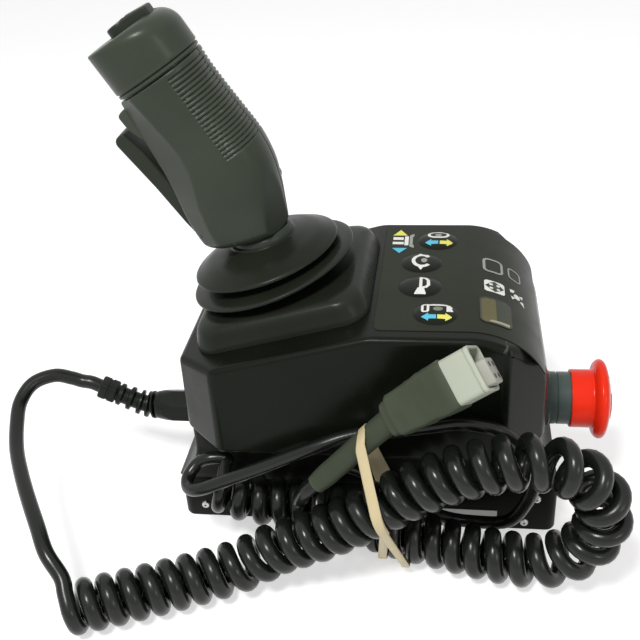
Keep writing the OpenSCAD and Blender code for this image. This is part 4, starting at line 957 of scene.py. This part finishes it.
class CONTROLBOX_OT_keypad(bpy.types.Operator):
    """Lays the film, the domed keys, the window and the printed symbols"""
    bl_idname = "controlbox.keypad"
    bl_label = "Keypad"

    def execute(self, context):
        box = settings().housing
        film = surface("film", box.film, 0.34, 0.1, 2600, 0.03, 0, 0.07)
        edge = surface("film_edge", [c * 0.7 for c in box.film], 0.5, 0.1, 2400, 0.05, 0, 0.06)
        self.film(film, edge)
        dome = surface("key_dome", [c * 0.5 for c in box.film], 0.3, 0.1, 2600, 0.03, 0, 0.08)
        for name, key in (("horn_key_dome", "horn_key"), ("beacon_key_dome", "beacon_key"),
                          ("drive_near_dome", "drive_key_near"), ("drive_far_dome", "drive_key_far")):
            turned_key(name, key, dome)
        self.symbols(box)
        self.window()
        return {"FINISHED"}

    def film(self, film, edge):
        for name, grow, low, high, material in (("overlay_film", 0, 0.0, FILM, film),
                                                ("overlay_rim", 0.3, -0.2, 0.06, edge)):
            start = FILM_START - grow
            end = CROWN[0] + CROWN_R * FILM_SWEEP + grow
            middle = (start + end) / 2
            plan = rounded_rectangle(end - start, 2 * (FILM_HALF_W + grow), 3 + grow, 6)
            bm = bmesh.new()
            bm.faces.new([bm.verts.new((middle + x, y, 0)) for x, y in plan])
            sliced(bm, CROWN[0] + 0.05, end, 0.9, Vector((1, 0, 0)))
            raised(bm, 1)
            for v in bm.verts:
                v.co = on_film(v.co.x, v.co.y, high if v.co.z > 0.5 else low)
            obj = made(name, bm, 35)
            placed(obj, material, "housing")
            if name == "overlay_film":
                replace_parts(obj, "membrane_overlay")

    def symbols(self, box):
        """Prints the symbols of the film and of the four keys"""
        white = surface("print_white", box.white, 0.5, 0.05, 900, 0.01)
        grey = surface("print_grey", box.grey, 0.5, 0.08, 900, 0.01)
        blue = surface("print_blue", box.blue, 0.5, 0.08, 900, 0.01)
        yellow = surface("print_yellow", box.yellow, 0.5, 0.08, 900, 0.01)
        dark = surface("print_dark", box.film, 0.5, 0.1)
        olive = surface("print_olive", screen(112, 124, 98), 0.5, 0.1)
        printed("print_lift_up", [[(11.5, 42.4), (18.8, 42.4), (15.2, 48.8)]], yellow)
        printed("print_lift_down", [[(11.6, 28), (15.4, 22.4), (19.1, 28)]], blue)
        bars = [[(11.7, 37.4), (17, 37.2), (17, 40.2), (11.7, 40.4)],
                [(11.6, 32.4), (17.2, 32.2), (17.2, 34.8), (11.6, 35)],
                [(17.6, 31.2), (19.6, 31.2), (19.6, 41.3), (17.6, 41.3)]]
        printed("print_lift_bars", bars, white)
        frame_side = [(20.1, 30), (22.4, 28.2), (22.4, 31.4), (21.7, 32), (21.7, 40.6), (22.3, 41.2),
                      (22.3, 44.2), (20.1, 42.4)]
        printed("print_lift_frame", [frame_side], grey)

        wheel = stroke(rounded_corners(29.9, 37.9, 39.6, 44.1, 2.9), 1.4, True)
        key_print("print_far_body", wheel, white, "drive_key_far")
        key_print("print_far_cab", [ellipse(34.7, 40.4, 1.7, 1.4)], grey, "drive_key_far")
        key_print("print_far_left", [arrow((28, 32.3), 6.6, 3.2, 1.6, 1)], blue, "drive_key_far")
        key_print("print_far_right", [arrow((42.2, 32.3), 6.8, 3.2, 1.6, -1)], yellow, "drive_key_far")
        beacon = stroke(ellipse(27.2, 12.1, 4.2, 5.6, 42, 318, 30), 1.8)
        beacon += [[(24.2, 16.6), (28.6, 16.9), (26.2, 20.6)], [(24.6, 7.4), (28.6, 7.2), (26.7, 3.4)],
                   [(28.6, 15.6), (30.4, 15.4), (30.4, 18.4), (28.4, 18)]]
        key_print("print_beacon", beacon, white, "beacon_key")
        key_print("print_beacon_lamp", [ellipse(28.2, 12.2, 1.5, 2.2)], grey, "beacon_key")
        loop = [(27.3, -5.2), (29.6, -5.8), (30.7, -8), (30.9, -12.6), (29.8, -14.6), (27.3, -15.2)]
        horn = stroke(loop, 1.5) + [[(26.6, -4.4), (28, -4.4), (28, -15.6), (26.6, -15.6)],
                                    [(26, -15.2), (28.8, -15.2), (29.9, -20.2), (24.4, -20.2)]]
        key_print("print_horn", horn, white, "horn_key")
        truck = stroke(rounded_corners(28.7, -36.8, 31.2, -30.4, 0.9), 1.1, True)
        truck += [[(31.4, -31.6), (39.6, -31.6), (39.6, -30.3), (31.4, -30.3)],
                  [(39.4, -36.9), (42.4, -36.4), (41.8, -34), (42.4, -31.3), (39.4, -30.4)]]
        key_print("print_near_body", truck, white, "drive_key_near")
        key_print("print_near_cab", [ellipse(35.6, -34.4, 2.2, 1.8)], olive, "drive_key_near")
        key_print("print_near_left", [arrow((28.3, -41), 6.6, 2.9, 1.5, 1)], blue, "drive_key_near")
        key_print("print_near_right", [arrow((42.2, -41), 6.8, 2.9, 1.5, -1)], yellow, "drive_key_near")

        printed("print_frame", stroke(rounded_corners(57, 7, 66, 19.4, 2.4), 1.3, True), grey)
        printed("print_frame_low", stroke(rounded_corners(69.8, 8.6, 76.6, 18.6, 2.2), 0.9, True), grey)
        printed("print_tile", [rounded_corners(56.6, -13, 66.6, -2.4, 1.6)], white)
        cross = [[(60.7, -11.6), (62.5, -11.6), (62.5, -3.8), (60.7, -3.8)],
                 [(57.8, -8.6), (65.4, -8.6), (65.4, -7), (57.8, -7)],
                 [(59, -10.4), (64.2, -10.4), (61.6, -12.4)], [(59, -5), (61.6, -3), (64.2, -5)],
                 [(59, -10.2), (57, -7.8), (59, -5.4)], [(64.2, -10.2), (66.2, -7.8), (64.2, -5.4)]]
        printed("print_tile_cross", cross, dark, lift=0.2)
        star = [[(69.6, -3), (72.4, -2.2), (71.6, -5), (69.8, -5.6)],
                ellipse(73.5, -7.2, 1.9, 2.2, 0, 360, 10),
                [(74.9, -4.8), (77.3, -3), (76.8, -6)], [(70.6, -11.8), (72.4, -9.2), (70, -9)],
                [(75.1, -9.6), (77.7, -12.4), (77.2, -8.4)]]
        printed("print_tile_low", star, white)

    def window(self):
        glass = surface("window_pane", screen(96, 90, 52), 0.25, 0.25, 500, 0.01, 0, 0.15)
        frame_dark = surface("window_rim", screen(34, 35, 30), 0.5)
        lit = surface("window_lit", screen(48, 54, 38), 0.25, 0.2, 500, 0.01, 0, 0.15)
        pale = surface("window_glint", screen(150, 148, 120), 0.3, 0.12, 500, 0.01)
        pane = printed("window_pane", [rounded_corners(54.6, -41.2, 68.4, -20, 3)], glass,
                       lift=0.0, thick=0.25)
        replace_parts(pane, "display_window")
        printed("window_rim", stroke(rounded_corners(54.4, -41.4, 68.6, -19.8, 3), 0.8, True), frame_dark,
                lift=0.05, thick=0.3)
        printed("window_dark_half", [[(61.6, -40.8), (68, -40.4), (68, -21), (61.6, -20.5)]], lit,
                lift=0.26, thick=0.04)
        printed("window_glint", [[(58, -40.5), (67.4, -40.6), (67.8, -38.2), (59, -39)]], pale,
                lift=0.31, thick=0.04)


def rounded_corners(x0, y0, x1, y1, r, steps=5):
    plan = rounded_rectangle(x1 - x0, y1 - y0, r, steps)
    return [((x0 + x1) / 2 + x, (y0 + y1) / 2 + y) for x, y in plan]


class CONTROLBOX_OT_joystick(bpy.types.Operator):
    """Builds the rubber boot, the collar, the two grip halves, the cap, the rocker and the trigger"""
    bl_idname = "controlbox.joystick"
    bl_label = "Joystick"

    def execute(self, context):
        box = settings().joystick
        # The last value of these finishes is the strength of the painted edge highlight.
        rubber = surface("boot_rubber_skin", box.rubber, 0.29, 0.2, 1500, 0.05, 0, 0.11, 0.5)
        plastic = surface("grip_moulded", box.plastic, 0.3, 0.12, 1700, 0.04, 0, 0.15, 0.4)
        dark = surface("control_moulded", [c * 0.7 for c in box.plastic], 0.34, 0.12, 1700, 0.04, 0, 0.12)
        collar = surface("collar_moulded", screen(48, 53, 46), 0.3, 0.1, 1500, 0.05, 0, 0.14)
        self.flange(rubber)
        self.folds(rubber, box.fold_tilt)
        place = lambda w, r, a: on_face(r * math.cos(a) - 1.2, r * math.sin(a), w)
        profile = [(33.6, 10), (33.6, 14.4), (34.1, 14.8), (35.4, 14.8), (36.6, 14.2), (37.4, 13.2),
                   (37.4, 9)]
        ring = placed(turned("collar_ring", profile, place, 96, 30), collar, "lever")
        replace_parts(ring, "grip_collar")
        self.grip(plastic, box)
        self.cap(plastic)
        self.rocker(dark)
        trigger = slab("trigger_blade", TRIGGER_SIDE, 6.5, on_face, 1.6, 3, 20)
        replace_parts(placed(trigger, dark, "trigger"), "trigger")
        guard = slab("guard_nub", GUARD_SIDE, 9.5, on_face, 1.2, 3, 20)
        guard.modifiers.clear()
        cut_with(guard, slot_cutter())
        placed(guard, plastic, "lever")
        return {"FINISHED"}

    def flange(self, rubber):
        rings = []
        rows = ((0.1, 0.2, 12), (0.8, 0, 12), (3, 0.35, 12), (6, 1.1, 12), (8.2, 1.8, 12), (9.6, 2.4, 12),
                (10.6, 3.2, 12), (11.4, 4.4, 12), (11.9, 6, 12.5), (12.1, 8.5, 14), (12.2, 12.5, 18),
                (12.3, 17, 22))
        for w, inset, r in rows:
            plan = rounded_rectangle(BOOT_L - 2 * inset, BOOT_W - 2 * inset, r, 12)
            rings.append([on_face(BOOT_SHIFT + u, v, w) for u, v in plan])
        skirt = placed(lofted("boot_flange", rings, 40), rubber, "housing")
        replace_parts(skirt, "boot_skirt")

    def folds(self, rubber, tilt):
        rows = [(20, 12.3), (24, 13.2), (32, 15.2), (38.4, 16.6), (40.7, 17.5), (41.1, 18.3), (40.4, 19.2),
                (36.4, 20), (30, 20.8), (26.4, 21.3), (25.8, 21.7), (26.4, 22.3), (30, 23), (33.8, 23.8),
                (35.7, 24.5), (36.1, 25.3), (35.4, 26.3), (33, 27.6), (28, 30.1), (23, 31.5), (18.6, 32.7),
                (16.2, 33.3), (15.6, 34), (15.2, 34.4), (9, 34.4)]
        line = smooth_profile(rows, 96)
        verts = []
        sides = 112
        for r, w in line:
            lean = math.tan(tilt) * eased((w - 13) / 3.5) * (1 - 0.7 * eased((w - 19.5) / 4))
            lean *= 1 - eased((w - 28) / 5.5)
            drift = -2 * eased((w - 12.5) / 4) - 1.2 * eased((w - 19.5) / 4) * (1 - eased((w - 28) / 5.5))
            for i in range(sides):
                a = 2 * math.pi * i / sides
                u = r * math.cos(a)
                verts.append(on_face(u + drift, r * math.sin(a), w + lean * u))
        folds = piece_from("boot_folds", verts, ring_faces(len(line), sides), 60)
        folds.data.materials.append(rubber)
        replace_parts(folds, "boot_bellows")
        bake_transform(folds)

    def section(self, share):
        """Middle, half depth and width share of the grip at a share of its height"""
        rows = GRIP_ROWS
        k = 0
        while k < len(rows) - 2 and rows[k + 1][0] < share:
            k += 1
        t = (share - rows[k][0]) / (rows[k + 1][0] - rows[k][0])
        values = []
        for column in (1, 2, 3):
            b = rows[k][column]
            c = rows[k + 1][column]
            low = max(0, k - 1)
            high = min(len(rows) - 1, k + 2)
            mb = (c - rows[low][column]) / (rows[k + 1][0] - rows[low][0]) * (rows[k + 1][0] - rows[k][0])
            mc = (rows[high][column] - b) / (rows[high][0] - rows[k][0]) * (rows[k + 1][0] - rows[k][0])
            h = (2 * t ** 3 - 3 * t * t + 1) * b + (t ** 3 - 2 * t * t + t) * mb
            h += (3 * t * t - 2 * t ** 3) * c + (t ** 3 - t * t) * mc
            values.append(h)
        return values

    def grip(self, plastic, box):
        steps = 330
        arc = 110
        depth = box.rib_depth / MM
        for name, side, node in (("grip_shell_near", -1, "grip_near_half"),
                                 ("grip_shell_far", 1, "grip_far_half")):
            rings = []
            for k in range(steps + 1):
                share = k / steps
                middle, half_u, width = self.section(share)
                w = GRIP_LOW + (GRIP_SEAM - GRIP_LOW) * share
                lean = HEAD_LEAN * share
                inset = 4.0 - math.sqrt(max(0, 16 - (4 - min(w - GRIP_LOW, 4.0)) ** 2))
                ring = []
                for i in range(arc + 1):
                    t = math.pi * i / arc
                    r = self.reach(t, w, middle, half_u - inset, GRIP_HALF_W * width - inset)
                    u = middle + r * math.cos(t) * math.cos(lean)
                    high = w + r * math.cos(t) * math.sin(lean)
                    sunk = 0.4 * bump_at(r * math.sin(t), 0, 0.45)
                    sunk += depth * self.rib(u, high, box.ribs)
                    sunk += 0.3 * bump_at(w, GRIP_SEAM, 0.4)
                    r -= sunk
                    v = side * max(0.01, r * math.sin(t))
                    ring.append(on_face(middle + r * math.cos(t) * math.cos(lean), v,
                                        w + r * math.cos(t) * math.sin(lean)))
                rings.append(ring)
            half = lofted(name, rings, 45)
            cut_with(half, slot_cutter())
            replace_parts(placed(half, plastic, "lever"), node)

    def reach(self, t, w, middle, a, b):
        """Distance from the grip's middle line to its skin: an oval with a flat towards the trigger
        and a flat low on the palm side"""
        n = 2 / GRIP_SQUARE
        ct = math.cos(t)
        st = math.sin(t)
        r = 1 / ((abs(ct) / a) ** n + (abs(st) / b) ** n) ** (1 / n)
        ridge = self.ridge(w) - middle
        p = Vector((ridge, b * max(0.01, 1 - (abs(ridge) / a) ** n) ** (1 / n) - 0.1))
        q = Vector((-a, 8.5))
        out = Vector((-(p.y - q.y), p.x - q.x)).normalized()
        facing = ct * out.x + st * out.y
        if facing > 0.05:
            r = self.least(r, out.dot(p) / facing, 0.2)
        normal = Vector((0.86, 0.46, -0.22))
        corner = Vector((13.7 - middle, 0, 39.6))
        facing = ct * normal.x + st * normal.y
        if facing > 0.05 and w < 66:
            flat = (normal.dot(corner) - normal.z * w) / facing
            r = self.least(r, flat, 0.15)
        return r

    def least(self, a, b, soft):
        """The smaller of two distances, with a small radius where they meet"""
        h = max(0.0, min(1.0, 0.5 + 0.5 * (b - a) / (2 * soft)))
        return b + (a - b) * h - 2 * soft * h * (1 - h)

    def ridge(self, w):
        """Place of the ridge beside the trigger at a height above the face"""
        rows = ((37, -18.5), (52.5, -19.6), (61.8, -19.7), (71.8, -18.2), (79.8, -17.2), (88, -18),
                (96.5, -20.5), (103.8, -23.7), (110, -26.2), (121, -31.2))
        for low, high in zip(rows, rows[1:]):
            if w <= high[0]:
                return low[1] + (high[1] - low[1]) * max(0, (w - low[0]) / (high[0] - low[0]))
        return rows[-1][1]

    def rib(self, u, w, ribs):
        """Depth share of the palm ribs, which lie square to the leaning head"""
        c = math.cos(HEAD_LEAN)
        s = math.sin(HEAD_LEAN)
        along = (u - HEAD[0]) * c + (w - HEAD[1]) * s
        h = -(u - HEAD[0]) * s + (w - HEAD[1]) * c
        high = -1.9
        pitch = 2.06
        low = high - pitch * ribs
        window = eased((along - 9) / 0.7) * eased((h - low) / 0.5) * eased((high - h) / 0.5)
        wave = 0.5 - 0.5 * math.cos(2 * math.pi * (h - low) / pitch)
        return window * wave ** 2.2

    def cap(self, plastic):
        a = 21.4
        b = 19.8
        top = 23.2
        heights = [0.2, 0.8, 0.82, 1.0, 1.4, 1.8, 2.1, 2.3, 2.45, 2.6, 2.75, 2.9, 3.1, 3.4, 5]
        insets = [1.6, 1.6, 0.7, 0.4, 0.3, 0.3, 0.35, 0.7, 0.95, 1, 0.9, 0.5, 0.15, 0, 0]
        sides = 160
        turns = [2 * math.pi * i / sides for i in range(sides)]
        rings = []
        for w, inset in zip(heights, insets):
            rings.append([self.cap_point(t, a - inset, b - inset, w) for t in turns])
        for share in (0.3, 0.65, 1):
            rings.append([self.cap_point(t, a, b, 5 + (top - self.corner(t) - 5) * share) for t in turns])
        for k in range(1, 15):
            bend = math.pi / 2 * k / 14
            ring = []
            for t in turns:
                r = self.corner(t)
                inset = r * (1 - math.cos(bend))
                ring.append(self.cap_point(t, a - inset, b - inset, top - r + r * math.sin(bend)))
            rings.append(ring)
        for inset in (13, 16, 18.9):
            rings.append([self.cap_point(t, a - inset, b - inset, top + 0.05) for t in turns])
        cap = lofted("cap_shell", rings, 45)
        side_room = 1.2
        well_floor = 16.8
        rings = [[on_head(u, side_room * v, w) for u, v in self.plan(0.7)] for w in (well_floor, 30)]
        cut_with(cap, lofted("well_cutter", rings, 30))
        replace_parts(placed(cap, plastic, "lever"), "grip_cap")

    def corner(self, t):
        """Radius of the cap's upper edge: small in front and large over the palm"""
        return 5.6 + 5.0 * math.cos(t) - 1.4 * math.sin(t) ** 2

    def cap_point(self, t, a, b, w):
        ct = math.cos(t)
        st = math.sin(t)
        u = 0.9 + a * math.copysign(abs(ct) ** 0.9, ct)
        v = b * math.copysign(abs(st) ** 0.9, st)
        return on_head(u, v, w)

    def plan(self, grow):
        """Rocker seen from above: a round lobe in front and a narrower block behind it"""
        r = 6.3 + grow
        half = 4.7 + grow
        end = 14.6 + grow
        start = math.asin(half / r)
        points = []
        lobe_at = -1.3
        for i in range(33):
            a = start + (2 * math.pi - 2 * start) * i / 32
            points.append((lobe_at + r * math.cos(a), r * math.sin(a)))
        nose = min(1.4, half)
        for sign in (-1, 1):
            for i in range(7):
                a = math.radians(15 * i) if sign > 0 else math.radians(90 - 15 * i)
                points.append((end - nose + nose * math.cos(a), sign * (half - nose + nose * math.sin(a))))
        return points

    def rocker(self, material):
        rings = []
        for inset, base, share in ((0.5, 18.9, 0), (0, 19.3, 0), (0, 19.3, 0.5), (0, 19.3, 1)):
            plan = self.plan(-inset)
            rings.append([on_head(u, v, base + (self.pad(u) - 1 - base) * share) for u, v in plan])
        for k in range(1, 7):
            bend = math.radians(15 * k)
            inset = 1 - math.cos(bend)
            rings.append([on_head(u, v, self.pad(u) - 1 + math.sin(bend)) for u, v in self.plan(-inset)])
        for inset in (1.8, 2.8, 3.8, 4.6):
            rings.append([on_head(u, v, self.pad(u)) for u, v in self.plan(-inset)])
        obj = lofted("rocker_pad", rings, 40)
        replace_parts(placed(obj, material, "thumb_rocker"), "thumb_rocker")

    def pad(self, u):
        """Height of the rocker's top over the head"""
        lobe = 27 + 0.3 * eased((u + 7) / 5)
        block = 27.9 - 0.1 * u
        return lobe + (block - lobe) * eased((u - 0.6) / 1.6) - 0.6 * bump_at(u, 0.6, 1.1)


class CONTROLBOX_OT_stop(bpy.types.Operator):
    """Builds the emergency stop's collar, gasket and mushroom head"""
    bl_idname = "controlbox.stop"
    bl_label = "Emergency stop"

    def execute(self, context):
        box = settings().stop
        red = surface("stop_red_gloss", box.head, 0.22, 0.05, 500, 0.01, 0, 0.14)
        grey = surface("stop_collar_grey", box.collar, 0.3, 0.1, 1500, 0.04, 0, 0.2)
        orange = surface("stop_gasket_rubber", box.gasket, 0.6, 0.08)
        profile = [(18, 8), (15.5, 13.6), (15.3, 14.2), (15.5, 14.6), (16.2, 14.65), (20, 14.65),
                   (24.6, 14.7), (25.8, 14.8), (26.3, 15.2), (26.35, 16.4), (26.8, 17.9), (27.8, 19.2),
                   (29.2, 19.95), (30.6, 19.8), (31.6, 19.1), (32.5, 17.6), (33.4, 14.6), (34.3, 11),
                   (35.1, 7.4), (35.6, 3.8), (35.8, 0)]
        head = turned("stop_mushroom", smooth_profile(profile, 100), on_stop, 112, 60)
        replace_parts(placed(head, red, "stop_button"), "stop_head")
        self.arrows(red)
        profile = [(1, 12), (1, 13.6), (1.4, 14), (4.6, 14), (5, 13.6), (5, 13.3), (8, 13.25), (8.3, 12.9),
                   (8.7, 12.9), (9, 13.25), (16.6, 13.25), (17, 12.8), (17, 9)]
        collar = turned("stop_collar_ring", profile, on_stop, 96, 30)
        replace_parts(placed(collar, grey, "housing"), "stop_collar")
        profile = [(0, 13), (0, 14.6), (0.3, 14.85), (0.8, 14.85), (1.05, 14.5), (1.05, 13)]
        gasket = turned("stop_gasket_ring", profile, on_stop, 96, 30)
        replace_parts(placed(gasket, orange, "housing"), "stop_gasket")
        return {"FINISHED"}

    def arrows(self, material):
        """Three plain raised arrows that show the way to twist"""
        for number in range(3):
            start = math.radians(120 * number + 12)
            inner = []
            outer = []
            for i in range(13):
                t = i / 12
                a = start + math.radians(70) * t
                half = 0.75 if t < 0.66 else 1.9 * (1 - t) / 0.34
                inner.append((a, 11.6 - half))
                outer.append((a, 11.6 + half))
            loop = outer + inner[::-1]
            rings = []
            for rise in (-0.5, 0.35):
                rings.append([on_stop(self.face(r) + rise, r, a) for a, r in loop])
            obj = lofted("stop_arrow_%d" % number, rings, 35)
            placed(obj, material, "stop_button")

    def face(self, r):
        """Distance along the axis of the head's front at a radius"""
        return 35.8 - 1.5 * (r / 11) ** 2


class CONTROLBOX_OT_inlet(bpy.types.Operator):
    """Builds the ribbed strain relief at the gland"""
    bl_idname = "controlbox.inlet"
    bl_label = "Gland and strain relief"

    def execute(self, context):
        rubber = surface("relief_rubber", screen(26, 30, 24), 0.3, 0.14, 1600, 0.04, 0, 0.14)
        hard = surface("gland_moulded", screen(26, 30, 24), 0.3, 0.12, 1600, 0.04, 0, 0.14)
        points = run_of(RELIEF_ROUTE, 150)
        radii = []
        for i in range(151):
            t = i / 150
            place = (t * 5) % 1
            ring = eased((place - 0.2) / 0.16) * (1 - eased((place - 0.66) / 0.16))
            full = 7.6 + (5.9 - 7.6) * t
            radii.append(4.5 + (full - 4.5) * ring)
        relief = tube("relief_sleeve", points, radii, 48, 60)
        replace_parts(placed(relief, rubber, "housing"), "strain_relief")
        start = Vector(CLAMP[0])
        way = (Vector(CLAMP[1]) - start).normalized()
        across = Vector((0, 1, 0))
        up = way.cross(across)
        square = rounded_rectangle(10, 10, 2.2, 5)
        rings = []
        rows = ((-0.6, 0.9), (0.1, 1), (3.2, 1), (3.5, 0.93), (4.5, 0.93), (4.8, 1), (8, 1), (8.8, 0.9))
        for along, size in rows:
            middle = start + way * along
            rings.append([(middle + across * (a * size) + up * (b * size)) * MM for a, b in square])
        clamp = lofted("relief_clamp", rings, 35)
        placed(clamp, rubber, "housing")
        dress("cable_gland", hard)
        dress("gland_cap", hard)
        softened("gland_cap", 0.5)
        softened("cable_gland", 0.4)
        return {"FINISHED"}


class CONTROLBOX_OT_inside(bpy.types.Operator):
    """Gives the inner parts their finishes"""
    bl_idname = "controlbox.inside"
    bl_label = "Inner parts"

    def execute(self, context):
        steel = surface("zinc_plated", screen(186, 188, 190), 0.32, 0.1, 700, 0.02, 1.0)
        spring = surface("spring_wire", screen(150, 154, 160), 0.3, 0.1, 700, 0.02, 1.0)
        brass = surface("nickel_plated", screen(196, 190, 172), 0.3, 0.1, 700, 0.02, 1.0)
        green = surface("board_laminate", screen(28, 84, 50), 0.4, 0.15)
        relay = surface("relay_case", screen(44, 78, 122), 0.4)
        cast = surface("gimbal_cast", screen(92, 98, 104), 0.5, 0.12, 900, 0.06, 0.7)
        dark = surface("sensor_case", screen(34, 38, 42), 0.5)
        cream = surface("contact_case", screen(200, 196, 176), 0.5)
        cell = surface("display_cell", screen(60, 74, 58), 0.3)
        black = surface("blackened_steel", screen(46, 50, 44), 0.4, 0.1, 900, 0.02, 0.4)
        groups = [
            (steel, ("housing_screws", "board_screws", "key_board_screws", "gimbal_screws", "pivot_pin",
                     "lever_shaft", "stop_nut")),
            (black, ("grip_screws", "rocker_pin", "trigger_pin")),
            (spring, ("centring_springs",)), (brass, ("gland_locknut",)),
            (green, ("circuit_board", "key_board")), (relay, ("board_relays",)), (cast, ("gimbal_block",)),
            (dark, ("tilt_sensor", "trigger_switch", "stop_stem")), (cream, ("stop_contacts",)),
            (cell, ("display_module",))]
        for material, nodes in groups:
            for node in nodes:
                dress(node, material)
        return {"FINISHED"}


class ControlBoxSettings(bpy.types.PropertyGroup):
    housing: PointerProperty(type=HousingSettings, name="Housing", description="Housing and keypad")
    joystick: PointerProperty(type=JoystickSettings, name="Joystick", description="Boot and grip")
    stop: PointerProperty(type=StopSettings, name="Emergency stop", description="Emergency stop")
    cord: PointerProperty(type=CordSettings, name="Cord", description="Cord and connector")
    stage: PointerProperty(type=StageSettings, name="Stage", description="Light and floor")


class CONTROLBOX_PT_panel(bpy.types.Panel):
    """Lists the pieces and their settings"""
    bl_label = "Control box"
    bl_idname = "CONTROLBOX_PT_panel"
    bl_space_type = "VIEW_3D"
    bl_region_type = "UI"
    bl_category = "Control box"

    def draw(self, context):
        box = context.scene.control_box
        for operator in OPERATORS:
            self.layout.operator(operator.bl_idname)
        for group in (box.housing, box.joystick, box.stop, box.cord, box.stage):
            column = self.layout.column()
            for name in group.__annotations__:
                column.prop(group, name)


OPERATORS = (CONTROLBOX_OT_stage, CONTROLBOX_OT_cord, CONTROLBOX_OT_housing, CONTROLBOX_OT_keypad,
             CONTROLBOX_OT_joystick, CONTROLBOX_OT_stop, CONTROLBOX_OT_inlet, CONTROLBOX_OT_inside)
CLASSES = (HousingSettings, JoystickSettings, StopSettings, CordSettings, StageSettings,
           ControlBoxSettings) + OPERATORS + (CONTROLBOX_PT_panel,)


def register():
    for cls in CLASSES:
        bpy.utils.register_class(cls)
    bpy.types.Scene.control_box = PointerProperty(type=ControlBoxSettings)


def unregister():
    del bpy.types.Scene.control_box
    for cls in reversed(CLASSES):
        bpy.utils.unregister_class(cls)


def main():
    register()
    bpy.ops.controlbox.stage()
    bpy.ops.controlbox.cord()
    bpy.ops.controlbox.housing()
    bpy.ops.controlbox.keypad()
    bpy.ops.controlbox.joystick()
    bpy.ops.controlbox.stop()
    bpy.ops.controlbox.inlet()
    bpy.ops.controlbox.inside()


if __name__ == "__main__":
    main()
